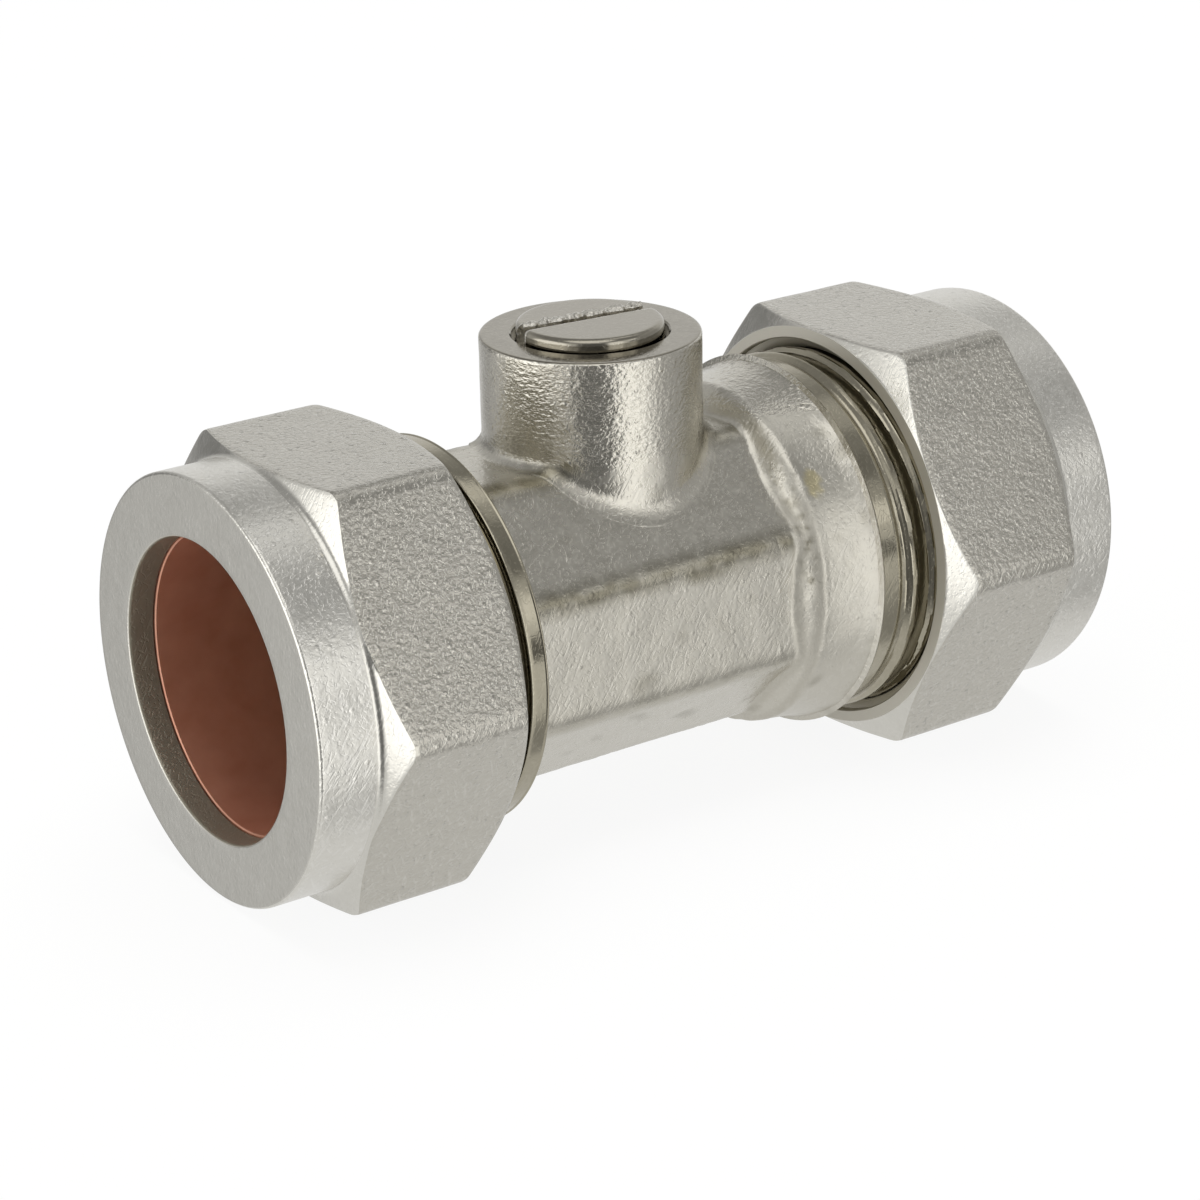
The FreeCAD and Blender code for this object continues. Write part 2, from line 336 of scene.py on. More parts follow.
@dataclass(frozen=True)
class PlatedNickel:
    """Nickel plate on brass: a slightly warm grey mirror, dulled by the skin of the metal under it."""

    name: str
    bright: str = "#E2DFD6"
    dull: str = "#B6B1A2"
    worn: tuple[tuple[str, str], ...] = ()
    metallic: float = 1.0
    contrast: float = 0.25
    roughness: float = 0.24
    roughness_spread: float = 0.06
    matt: float = 0.0
    grain: float = 0.26
    grain_depth: float = 0.030
    grain_stretch: tuple[float, float, float] = (1.0, 1.0, 1.0)
    mottle: float = 0.9
    mottle_depth: float = 0.020
    fleck: float = 0.5
    fleck_depth: float = 0.020
    fleck_edge: tuple[float, float] = (0.30, 0.10)
    fleck_share: float = 0.45
    scratch_length: float = 2.4
    scratch_width: float = 0.17
    scratch_depth: float = 0.010
    scratch_shine: float = 0.15
    scratch_edge: tuple[float, float] = (0.67, 0.75)
    scratch_turns: tuple[tuple[float, float, float], ...] = (
        (0.4, 0.9, 0.3), (1.3, 0.2, 1.1), (0.2, 2.2, 0.8), (0.9, 0.5, 2.3))
    # Rings of a lathe are finer than this and are drawn as coarse as they need to show
    lathe_pitch: float = 0.12
    lathe_length: float = 8.0
    lathe_depth: float = 0.0
    lathe_axis: Axis = Axis.PIPE

    def stretched_noise(self, tree: NodeTree, place: NodeSocket,
                        sizes: Sequence[float], detail: float) -> NodeSocket:
        """Noise whose grain has its own size along each axis.

        Args:
            tree: Node tree of the material.
            place: Coordinates of the surface.
            sizes: Sizes of the grain in millimetres.
            detail: Number of finer layers.

        Returns:
            Value from 0 to 1.
        """
        scales = tuple(per_metre(size) for size in sizes)
        drawn = add_node(tree, "VectorMath", {0: place, 1: scales}, operation="MULTIPLY")
        return add_node(tree, "TexNoise",
                        {"Vector": drawn.outputs[0], "Scale": 1.0, "Detail": detail}).outputs[0]

    def flecks(self, tree: NodeTree, place: NodeSocket) -> NodeSocket:
        """Small specks, on a part of the cells only.

        Args:
            tree: Node tree of the material.
            place: Object coordinates.

        Returns:
            Height from 0 to 1.
        """
        cells = add_node(tree, "TexVoronoi", {"Vector": place, "Scale": per_metre(self.fleck)})
        low, high = self.fleck_edge
        speck = add_node(tree, "MapRange",
                         {"Value": cells.outputs["Distance"], "From Min": low, "From Max": high})
        chance = add_node(tree, "SeparateColor", {"Color": cells.outputs["Color"]})
        chosen = add_node(tree, "Math", {0: chance.outputs["Red"], 1: 1.0 - self.fleck_share},
                          operation="GREATER_THAN")
        return add_node(tree, "Math", {0: speck.outputs["Result"], 1: chosen.outputs[0]},
                        operation="MULTIPLY").outputs[0]

    def scratches(self, tree: NodeTree, place: NodeSocket) -> NodeSocket:
        """Short straight scratches in a few directions.

        Args:
            tree: Node tree of the material.
            place: Object coordinates.

        Returns:
            Depth from 0 to 1.
        """
        sizes = (self.scratch_length, self.scratch_width, self.scratch_width)
        low, high = self.scratch_edge
        total = None
        for turn in self.scratch_turns:
            turned = add_node(tree, "Mapping", {"Vector": place, "Rotation": turn})
            streaks = self.stretched_noise(tree, turned.outputs[0], sizes, 0.0)
            line = add_node(tree, "MapRange", {"Value": streaks, "From Min": low, "From Max": high})
            if total is None:
                total = line.outputs["Result"]
            else:
                total = add_node(tree, "Math", {0: total, 1: line.outputs["Result"]},
                                 operation="MAXIMUM").outputs[0]
        return total

    def material(self) -> Material:
        """Build the finish's material.

        Returns:
            The material.
        """
        material, surface = new_surface(self.name, {"Metallic": self.metallic})
        tree = material.node_tree
        place = add_node(tree, "TexCoord").outputs["Object"]
        grain = self.stretched_noise(tree, place, [self.grain * part for part in self.grain_stretch], 3.0)
        mottle = self.stretched_noise(tree, place, [self.mottle] * 3, 2.0)
        scratches = self.scratches(tree, place)
        heights = [(mottle, self.mottle_depth), (grain, self.grain_depth), (scratches, -self.scratch_depth)]
        if self.fleck_depth:
            heights.append((self.flecks(tree, place), self.fleck_depth))
        if self.lathe_depth:
            rings = [self.lathe_pitch if part else self.lathe_length for part in self.lathe_axis.value]
            heights.append((self.stretched_noise(tree, place, rings, 2.0), self.lathe_depth))
        normal = None
        for height, depth in heights:
            bump = add_node(tree, "Bump", {"Height": height, "Distance": abs(depth) * MM},
                            invert=depth < 0)
            if normal:
                tree.links.new(normal, bump.inputs["Normal"])
            normal = bump.outputs[0]
        tree.links.new(normal, surface.inputs["Normal"])
        both = add_node(tree, "Math", {0: grain, 1: mottle}, operation="ADD")
        spread = add_node(tree, "Math",
                          {0: both.outputs[0], 1: self.contrast, 2: 0.5 - self.contrast},
                          operation="MULTIPLY_ADD")
        tone = add_node(tree, "Math", {0: scratches, 1: self.scratch_shine, 2: spread.outputs[0]},
                        operation="MULTIPLY_ADD", use_clamp=True)
        colour = add_node(tree, "Mix",
                          {0: tone.outputs[0], 6: linear(self.dull), 7: linear(self.bright)},
                          data_type="RGBA")
        shade = colour.outputs[2]
        for attribute, hue in self.worn:
            worn = add_node(tree, "Attribute", attribute_name=attribute).outputs["Fac"]
            shade = add_node(tree, "Mix", {0: worn, 6: shade, 7: linear(hue)},
                             data_type="RGBA").outputs[2]
        tree.links.new(shade, surface.inputs["Base Color"])
        dullness = add_node(tree, "MapRange", {
            "Value": mottle, "To Min": self.roughness - self.roughness_spread,
            "To Max": self.roughness + self.roughness_spread})
        rough = dullness.outputs["Result"]
        if self.matt:
            where = add_node(tree, "Attribute", attribute_name=MATT).outputs["Fac"]
            rough = add_node(tree, "Math", {0: where, 1: self.matt, 2: rough},
                             operation="MULTIPLY_ADD").outputs[0]
        tree.links.new(rough, surface.inputs["Roughness"])
        return material


@dataclass(frozen=True)
class TarnishedCopper:
    """Drawn copper ring gone brown in store: a dull red-brown metal with darker patches."""

    name: str = "copper, drawn and tarnished"
    bright: str = "#F6BFA4"
    dark: str = "#D9987C"
    roughness: float = 0.38
    metallic: float = 0.75
    patch: float = 1.8

    def material(self) -> Material:
        """Build the finish's material.

        Returns:
            The material.
        """
        material, surface = new_surface(self.name, {"Metallic": self.metallic, "Roughness": self.roughness})
        tree = material.node_tree
        place = add_node(tree, "TexCoord").outputs["Object"]
        patches = add_node(tree, "TexNoise",
                           {"Vector": place, "Scale": per_metre(self.patch), "Detail": 4.0})
        mix = add_node(tree, "Mix",
                       {0: patches.outputs[0], 6: linear(self.bright), 7: linear(self.dark)},
                       data_type="RGBA")
        tree.links.new(mix.outputs[2], surface.inputs["Base Color"])
        return material


@dataclass(frozen=True)
class PlainFinish:
    """Finish with one colour and one gloss."""

    name: str
    colour: str
    roughness: float
    metallic: float = 0.0

    def material(self) -> Material:
        """Build the finish's material."""
        values = {"Base Color": linear(self.colour), "Roughness": self.roughness, "Metallic": self.metallic}
        return new_surface(self.name, values)[0]


@dataclass(frozen=True)
class Thread:
    """Right-hand thread that the spigots and the nuts share, along the whole pipe axis."""

    pitch: float = 1.5
    crest: float = 9.75
    depth: float = 0.24
    crest_flat: float = 0.3
    root_flat: float = 0.7
    phase: float = 0.52

    @property
    def root(self) -> float:
        """Radius of the floor of the groove."""
        return self.crest - self.depth

    def drop(self, place: Vector) -> float:
        """Depth below the crest at a place, from 0 at the crest to 1 at the root.

        Args:
            place: Place on the thread.

        Returns:
            Share of the thread's depth.
        """
        turn = atan2(place.z, place.y) / (2 * pi)
        along = (place.x - self.phase) / self.pitch - turn
        from_crest = abs((along + 0.5) % 1.0 - 0.5) * self.pitch
        flank = (self.pitch - self.crest_flat - self.root_flat) / 2
        return min(max((from_crest - self.crest_flat / 2) / flank, 0.0), 1.0)

    def radius(self, place: Vector) -> float:
        """Radius of the spigot's thread at a place."""
        return self.crest - self.depth * self.drop(place)


@dataclass
class ForgedBody:
    """Body of the valve: waist, boss and barrel as forged, spigots and boss top as turned."""

    thread: Thread
    segments: int = 320
    fine_step: float = 0.07
    coarse_step: float = 0.14
    waist_sides: int = 8
    waist_flat: float = 8.05
    waist_half_flat: float = 3.334
    waist_corner: float = 1.8
    waist_end: float = 5.6
    blank_depth: float = 1.0
    crease_start: float = 5.7
    crease_blend: float = 0.36
    shoulder_blend: float = 0.5
    ring_outer: float = -10.75
    ring_inner: float = -9.75
    ring_radius: float = 9.96
    ring_round: float = 0.08
    ring_lip: float = 0.05
    ring_lip_round: float = 0.07
    ring_foot_length: float = 0.65
    ring_foot_height: float = 1.95
    ring_foot_radius: float = 9.93
    ring_foot_steps: int = 14
    land_radius: float = 9.55
    land_round: float = 0.06
    barrel_start: float = 6.75
    barrel_start_radius: float = 8.05
    barrel_radius: float = 9.25
    barrel_slope: float = 55.0
    barrel_rim: float = 11.2
    barrel_rim_radius: float = 10.05
    barrel_rim_round: float = 0.25
    flare_start: float = 0.3
    flare_height: float = 0.8
    flare_bend: float = 1.4
    rim_lift: float = 0.1
    rim_length: float = 1.1
    left_end: float = -15.55
    right_end: float = 18.5
    # Rows of a spigot's softened end, inwards from the end
    spigot_softening: tuple[Row, ...] = ((0.0, 8.82), (0.12, 8.95), (0.3, 9.1))
    # The thread has coarse rows where a nut always hides it and fine rows where it comes out
    left_thread: float = -12.05
    left_fine: float = -13.8
    left_coarse: tuple[float, float] = (-15.15, -13.9)
    right_thread: float = 12.5
    right_fine: float = 16.7
    right_coarse: tuple[float, float] = (16.8, 18.05)
    thread_run_out: float = 0.4
    socket_radius: float = 7.6
    mouth_radius: float = 8.75
    mouth_length: float = 1.992
    retainer_face: float = 10.8
    retainer_radius: float = 7.1
    chamber: tuple[float, float] = (5.8, -6.3)
    chamber_radius: float = 6.6
    waterway_radius: float = 4.5
    left_stop: float = -9.5
    boss_radius: float = 5.625
    boss_top: float = 13.7
    boss_foot: float = 0.65
    boss_rim_round: float = 0.15
    boss_segments: int = 160
    # Rows of the boss under the waist's skin: heights, and reaches past the pocket or past the foot
    boss_root: Row = (-1.2, 0.3)
    boss_skirt: tuple[Row, ...] = ((-0.4, 0.1), (-0.06, 0.03))
    boss_foot_steps: int = 10
    boss_wall_steps: int = 24
    boss_wall_margin: float = 0.02
    boss_top_step: float = 0.3
    boss_top_margin: float = 0.1
    boss_wear_grain: float = 1.4
    ground_blend: float = 0.27
    counterbore_radius: float = 4.0
    counterbore_floor: float = 13.25
    counterbore_round: float = 0.08
    stem_bore: float = 3.81
    stem_bore_step: float = 1.0
    stem_bore_margin: float = 0.5
    pocket_radius: float = 4.7
    pocket_top: float = 8.0
    pocket_bottom: float = 6.4
    tunnel_radius: float = 5.1
    # Steps between rows, and margins that keep rows clear of a round or a groove
    land_step: float = 0.3
    ring_step: float = 0.2
    ring_margins: tuple[float, float] = (0.3, 0.16)
    waist_step: float = 0.35
    waist_margin: float = 0.8
    barrel_step: float = 0.11
    rim_margin: float = 0.32
    rim_drop: float = 0.3
    right_land_step: float = 0.25
    right_land_margin: float = 0.2
    thread_margin: float = 0.05
    chamber_step: float = 0.6
    wear_margin: float = 0.3
    # Grains of the wear are counts of swells in a millimetre
    blend_spread: float = 0.7
    blend_grain: float = 0.8
    rim_spread: float = 0.35
    rim_grain: float = 1.2
    rim_bend: float = 1.5
    wear_depth: float = 0.025
    wear_grain: float = 0.55
    slope_wear: float = 1.4
    pit_depth: float = 0.05
    pit_place: float = 6.9
    pit_reach: float = 1.2
    pit_level: float = 0.12
    pit_grain: float = 1.7
    ridge_margin: float = 0.5
    ridge_angle: float = 0.12
    ridge_depth: float = 0.03
    ridge_grain: float = 3.2
    rub_above: float = 1.15
    rub_below: float = 0.3
    rub_level: float = 0.9
    rub_spread: float = 0.6
    rub_grain: float = 1.3
    stain_level: float = 0.35
    stain_grain: float = 0.8
    stain_shift: Vector = Vector((7.0, 3.0, 1.0))
    # Patches of the crease beside the barrel are drawn darker, between two heights
    crease_stain: float = 2.2
    crease_stain_grain: float = 2.4
    crease_stain_place: float = 0.55
    crease_stain_reach: float = 0.5
    crease_stain_heights: tuple[float, float] = (1.0, 6.5)
    bare_spot: Vector = Vector((8.5, -7.15, 5.6))
    bare_size: tuple[float, float, float] = (0.6, 0.9, 0.8)
    bare_edge: float = 1.8
    bare_spread: float = 0.8
    bare_grain: float = 3.0
    bare_most: float = 0.8
    matt_line: float = 0.26
    matt_edge: float = 1.5
    matt_least: float = 0.35
    matt_top: float = 4.5
    matt_fade: float = 2.0
    # Bounds between the finishes
    waterway_reach: float = 7.75
    boss_side_start: float = 0.4
    faced_depth: float = 0.05
    faced_margin: float = 0.1

    @property
    def rise(self) -> float:
        """Height that the slope up to the barrel gains in each millimetre."""
        return tan(radians(self.barrel_slope))

    def waist(self, angle: float) -> float:
        """Radius of the eight-sided waist at an angle from the top."""
        return polygon_radius(angle, self.waist_sides, self.waist_flat, self.waist_corner)

    def barrel(self, along: float, blend: float) -> float:
        """Radius of the round barrel and of the slope that leads up to it.

        Args:
            along: Place along the pipe.
            blend: Height over which the slope rounds into the barrel.

        Returns:
            Radius there.
        """
        beyond = along - self.barrel_start
        slope = self.barrel_start_radius + beyond * self.rise
        flare = beyond / (self.barrel_rim - self.barrel_start)
        side = self.barrel_radius + self.flare_height * max(flare - self.flare_start, 0.0) ** self.flare_bend
        return smooth_least(slope, side, blend)

    def outer_rows(self) -> list[Row]:
        """Rows of the outside from the left mouth to the right mouth.

        Returns:
            The rows in order.
        """
        root = self.thread.root
        land = self.land_radius
        edge = self.land_round
        rim_round = self.barrel_rim_round
        rows = [(self.left_end + inwards, radius) for inwards, radius in self.spigot_softening]
        rows += level(root, *self.left_coarse, self.coarse_step)
        rows += level(root, self.left_fine, self.left_thread - self.thread_margin, self.fine_step)
        rows += level(land, self.left_thread, self.ring_outer - edge, self.land_step)
        rows += [(self.ring_outer, land + edge)]
        rows += arc((self.ring_outer + self.ring_round, self.ring_radius - self.ring_round),
                    self.ring_round, 180, 90, 3)
        outer_margin, inner_margin = self.ring_margins
        rows += level(self.ring_radius, self.ring_outer + outer_margin, self.ring_inner - inner_margin,
                      self.ring_step)
        lip_round = self.ring_lip_round
        rows += arc((self.ring_inner - lip_round, self.ring_radius + self.ring_lip - lip_round),
                    lip_round, 120, 10, 4)
        for step in range(1, self.ring_foot_steps + 1):
            part = step / self.ring_foot_steps
            rows.append((self.ring_inner + self.ring_foot_length * part**2,
                         self.ring_foot_radius - self.ring_foot_height * part))
        rows += level(self.waist_flat - self.blank_depth, self.ring_inner + self.waist_margin,
                      self.waist_end, self.waist_step)
        rows += [(x, self.barrel(x, self.shoulder_blend))
                 for x in stations(self.crease_start, self.barrel_rim - self.rim_margin, self.barrel_step)]
        rows += arc((self.barrel_rim - rim_round, self.barrel_rim_radius - self.rim_drop),
                    rim_round, 80, 0, 5)
        rows += [(self.barrel_rim, land + edge), (self.barrel_rim + edge, land)]
        rows += level(land, self.barrel_rim + self.right_land_margin, self.right_thread,
                      self.right_land_step)
        rows += level(root, self.right_thread + self.fine_step, self.right_fine, self.fine_step)
        rows += level(root, *self.right_coarse, self.coarse_step)
        rows += [(self.right_end - inwards, radius) for inwards, radius in reversed(self.spigot_softening)]
        return rows

    def inner_rows(self) -> list[Row]:
        """Rows of the waterway from the right mouth back to the left mouth.

        Returns:
            The rows in order.
        """
        outer = self.spigot_softening[0][1]
        socket = self.socket_radius
        right, left = self.chamber
        rows = [(self.right_end, outer), (self.right_end, self.mouth_radius)]
        rows += [(self.right_end - self.mouth_length, socket), (self.retainer_face, socket)]
        rows += [(self.retainer_face, self.retainer_radius), (right, self.retainer_radius)]
        rows += level(self.chamber_radius, right, left, self.chamber_step)
        rows += [(left, self.waterway_radius), (self.left_stop, self.waterway_radius)]
        rows += [(self.left_stop, socket), (self.left_end + self.mouth_length, socket)]
        rows += [(self.left_end, self.mouth_radius), (self.left_end, outer)]
        return rows

    def outside(self, place: Vector, angle: float, radius: float) -> float:
        """Radius of the finished outside at a place of the spun blank.

        Args:
            place: Place on the blank.
            angle: Angle from the top.
            radius: Radius of the blank there.

        Returns:
            Radius of the eight-sided waist, barrel or thread there.
        """
        if self.ring_inner <= place.x < self.barrel_rim - self.wear_margin:
            waist = self.waist(angle)
            uneven = 1.0 + self.blend_spread * noise(place * self.blend_grain)
            if place.x > (self.waist_end + self.crease_start) / 2:
                radius = self.barrel(place.x, self.shoulder_blend * uneven) + self.rim_swell(place)
            return smooth_most(waist, radius, self.crease_blend * uneven) + self.wear(place)
        softened = self.spigot_softening[-1][0]
        left_run = min(place.x - (self.left_end + softened), self.left_thread - place.x)
        right_run = min(place.x - self.right_thread, self.right_end - softened - place.x)
        run = max(left_run, right_run)
        if run <= 0:
            return radius
        return radius + (self.thread.radius(place) - radius) * min(run / self.thread_run_out, 1.0)

    def rim_swell(self, place: Vector) -> float:
        """Height of the swell, uneven at its foot, that leads up to the barrel's rim."""
        back = self.barrel_rim - place.x + self.rim_spread * noise(place * self.rim_grain)
        return self.rim_lift * min(max(1.0 - back / self.rim_length, 0.0), 1.0) ** self.rim_bend

    def wear(self, place: Vector) -> float:
        """Height of the small dents and swells that the forging die left.

        Args:
            place: Place on the outside of the body.

        Returns:
            Height in millimetres.
        """
        swell = noise(place * self.wear_grain) * self.wear_depth
        near_crease = max(1.0 - abs(place.x - self.pit_place) / self.pit_reach, 0.0)
        pit = max(noise(place * self.pit_grain) - self.pit_level, 0.0)
        ragged = self.ridge_depth * self.ridge(place) * noise(place * self.ridge_grain)
        return swell - self.pit_depth * near_crease * pit + ragged

    def ridge(self, place: Vector) -> float:
        """How near a place is to a corner of the waist.

        Args:
            place: Place on the outside of the body.

        Returns:
            Amount from 0 to 1.
        """
        if not self.ring_inner + self.ridge_margin < place.x < self.barrel_start:
            return 0.0
        half = pi / self.waist_sides
        from_corner = abs(atan2(place.y, place.z) % (2 * half) - half)
        return max(1.0 - from_corner / self.ridge_angle, 0.0)

    def rubbed(self, place: Vector) -> float:
        """How dull the plate is rubbed or stained at a place, and how much darker the crease beside the
        barrel is drawn.

        Args:
            place: Place on the outside of the body.

        Returns:
            Amount from 0 to 1.
        """
        patchy = self.rub_level + self.rub_spread * noise(place * self.rub_grain)
        stain = max(noise(place * self.stain_grain + self.stain_shift) - self.stain_level, 0.0)
        exposed = self.rub_above if place.z > 0 else self.rub_below
        # The crease beside the barrel is drawn darker in patches, between two heights
        low, high = self.crease_stain_heights
        from_crease = abs(place.x - self.barrel_start - self.crease_stain_place)
        in_crease = max(1.0 - from_crease / self.crease_stain_reach, 0.0) if low < place.z < high else 0.0
        crease_darker = self.crease_stain * in_crease * max(noise(place * self.crease_stain_grain), 0.0)
        return min(max(exposed * self.ridge(place) * patchy + stain + crease_darker, 0.0), 1.0)

    def bare(self, place: Vector) -> float:
        """How far the plate is gone from one small spot on the barrel.

        Args:
            place: Place on the outside of the body.

        Returns:
            Amount from 0 to 1.
        """
        away = place - self.bare_spot
        reach = hypot(*[part / size for part, size in zip(away, self.bare_size)])
        ragged = self.bare_spread * noise(place * self.bare_grain)
        return min(max(self.bare_edge - self.bare_edge * reach + ragged, 0.0), self.bare_most)

    def matt(self, place: Vector) -> float:
        """How matt the die left the barrel and the crease beside it.

        Args:
            place: Place on the outside of the body.

        Returns:
            Amount from 0 to 1.
        """
        waist = self.waist(atan2(place.y, place.z))
        foot = self.barrel_start + (waist - self.barrel_start_radius) / self.rise
        shoulder = self.barrel_start + (self.barrel_radius - self.barrel_start_radius) / self.rise
        nearest = min(abs(place.x - foot), abs(place.x - shoulder))
        edge = min(max(self.matt_edge - nearest / self.matt_line, 0.0), 1.0)
        barrel = self.matt_least if place.x > shoulder else 0.0
        above = max(place.z - self.matt_top, 0.0)
        exposed = max(1.0 - above / self.matt_fade, self.matt_least)
        return exposed * max(edge, barrel)

    def waist_height(self, place: Vector) -> float:
        """Height of the worn waist under the boss.

        Args:
            place: Place on the boss, of which the height doesn't matter.

        Returns:
            Height above the pipe axis.
        """
        beside = abs(place.y)
        slope = self.waist_flat + self.waist_half_flat - beside
        height = smooth_least(self.waist_flat, slope, self.ground_blend)
        blank = Vector((0.0, place.y, height)).normalized() * (self.waist_flat - self.blank_depth)
        steepness = 1.0 if beside < self.waist_half_flat else self.slope_wear
        return height + steepness * self.wear(Vector((place.x, blank.y, blank.z)))

    def shell(self) -> BMesh:
        """Build the body without its boss, with a passage for the stem through its top.

        Returns:
            Closed mesh of the body.
        """
        mesh = spun(self.outer_rows(), Axis.PIPE, self.segments)
        pull_to(mesh.verts, self.outside)
        join(mesh, spun(self.inner_rows(), Axis.PIPE, self.segments))
        bmesh.ops.remove_doubles(mesh, verts=mesh.verts, dist=MERGE_DISTANCE)
        over_ball = []
        for face in mesh.faces:
            centre = face.calc_center_median()
            if centre.z > 0 and centre.xy.length < self.tunnel_radius:
                over_ball.append(face)
        bmesh.ops.delete(mesh, geom=over_ball, context="FACES")
        bmesh.ops.bridge_loops(mesh, edges=[edge for edge in mesh.edges if edge.is_boundary])
        return mesh

    def boss(self) -> BMesh:
        """Build the boss as a ring that grows out of the waist.

        Returns:
            Closed mesh of the boss.
        """
        foot = self.boss_foot
        rim = self.boss_top - self.boss_rim_round
        spread = self.boss_radius + foot
        # Heights of the rows: the foot as it is, then 0 to 1 for the wall, then the rim as it is
        root_height, root_reach = self.boss_root
        skirt = [(root_height, self.pocket_radius + root_reach)]
        skirt += [(height, spread + reach) for height, reach in self.boss_skirt]
        skirt += arc((foot, spread), foot, 181, 270, self.boss_foot_steps)
        margin = self.boss_wall_margin
        steps = self.boss_wall_steps
        wall = [(foot + margin + (1.0 - 2 * margin) * k / steps, self.boss_radius)
                for k in range(1, steps + 1)]
        lip = self.counterbore_radius + self.counterbore_round
        inset = self.boss_radius - self.boss_rim_round
        crown = arc((foot + 1.0, inset), self.boss_rim_round, 90, 0, 4)
        top = [(foot + 1.0 + self.boss_rim_round, radius)
               for radius in stations(inset - self.boss_top_margin, lip, self.boss_top_step)]
        mesh = spun(skirt + wall + crown + top, Axis.STEM, self.boss_segments)
        for vertex in mesh.verts:
            place = vertex.co
            ground = self.waist_height(place)
            height = place.z
            if height <= foot:
                place.z = ground + height
            elif height <= foot + 1.0:
                place.z = ground + foot + (rim - ground - foot) * (height - foot)
            else:
                place.z = rim + height - foot - 1.0
            if 0.0 < height <= foot + 1.0:
                ripple = 1.0 + self.wear(place * self.boss_wear_grain) / self.boss_radius
                place.x *= ripple
                place.y *= ripple
        floor = self.counterbore_floor
        inside = [(self.boss_top, lip), (self.boss_top - self.counterbore_round, self.counterbore_radius)]
        inside += [(floor, self.counterbore_radius), (floor, self.stem_bore)]
        inside += level(self.stem_bore, floor - self.stem_bore_margin, self.pocket_top, self.stem_bore_step)
        inside += [(self.pocket_top, self.pocket_radius), (self.pocket_bottom, self.pocket_radius)]
        join(mesh, spun(inside, Axis.STEM, self.boss_segments))
        bmesh.ops.remove_doubles(mesh, verts=mesh.verts, dist=MERGE_DISTANCE)
        bmesh.ops.bridge_loops(mesh, edges=[edge for edge in mesh.edges if edge.is_boundary])
        return mesh

    def finish_index(self, centre: Vector) -> int:
        """Number of the finish of a face.

        Args:
            centre: Middle of the face.

        Returns:
            0 as forged, 1 turned, 2 the boss's side, 3 the boss's top.
        """
        reach = hypot(centre.y, centre.z)
        across = centre.xy.length
        if not self.ring_inner < centre.x < self.barrel_rim or reach < self.waterway_reach:
            return 1
        if centre.z > self.waist_flat + self.boss_side_start:
            on_top = centre.z > self.boss_top - self.faced_depth
            return 3 if on_top or across < self.counterbore_radius + self.faced_margin else 2
        return 0

    def build(self, finishes: Sequence[Material]) -> Object:
        """Build and dress the body.

        Args:
            finishes: Finishes as forged, turned, of the boss's side and of the boss's top.

        Returns:
            The body's object.
        """
        mesh = self.shell()
        join(mesh, self.boss())
        close_shell(mesh)
        give_finishes(mesh, self.finish_index)
        for name, amount in ((RUBBED, self.rubbed), (BARE, self.bare), (MATT, self.matt)):
            layer = mesh.verts.layers.float.new(name)
            for vertex in mesh.verts:
                vertex[layer] = amount(vertex.co)
        piece = make_object(mesh, "forged_body", finishes)
        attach(piece, "valve")
        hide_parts("body")
        return piece


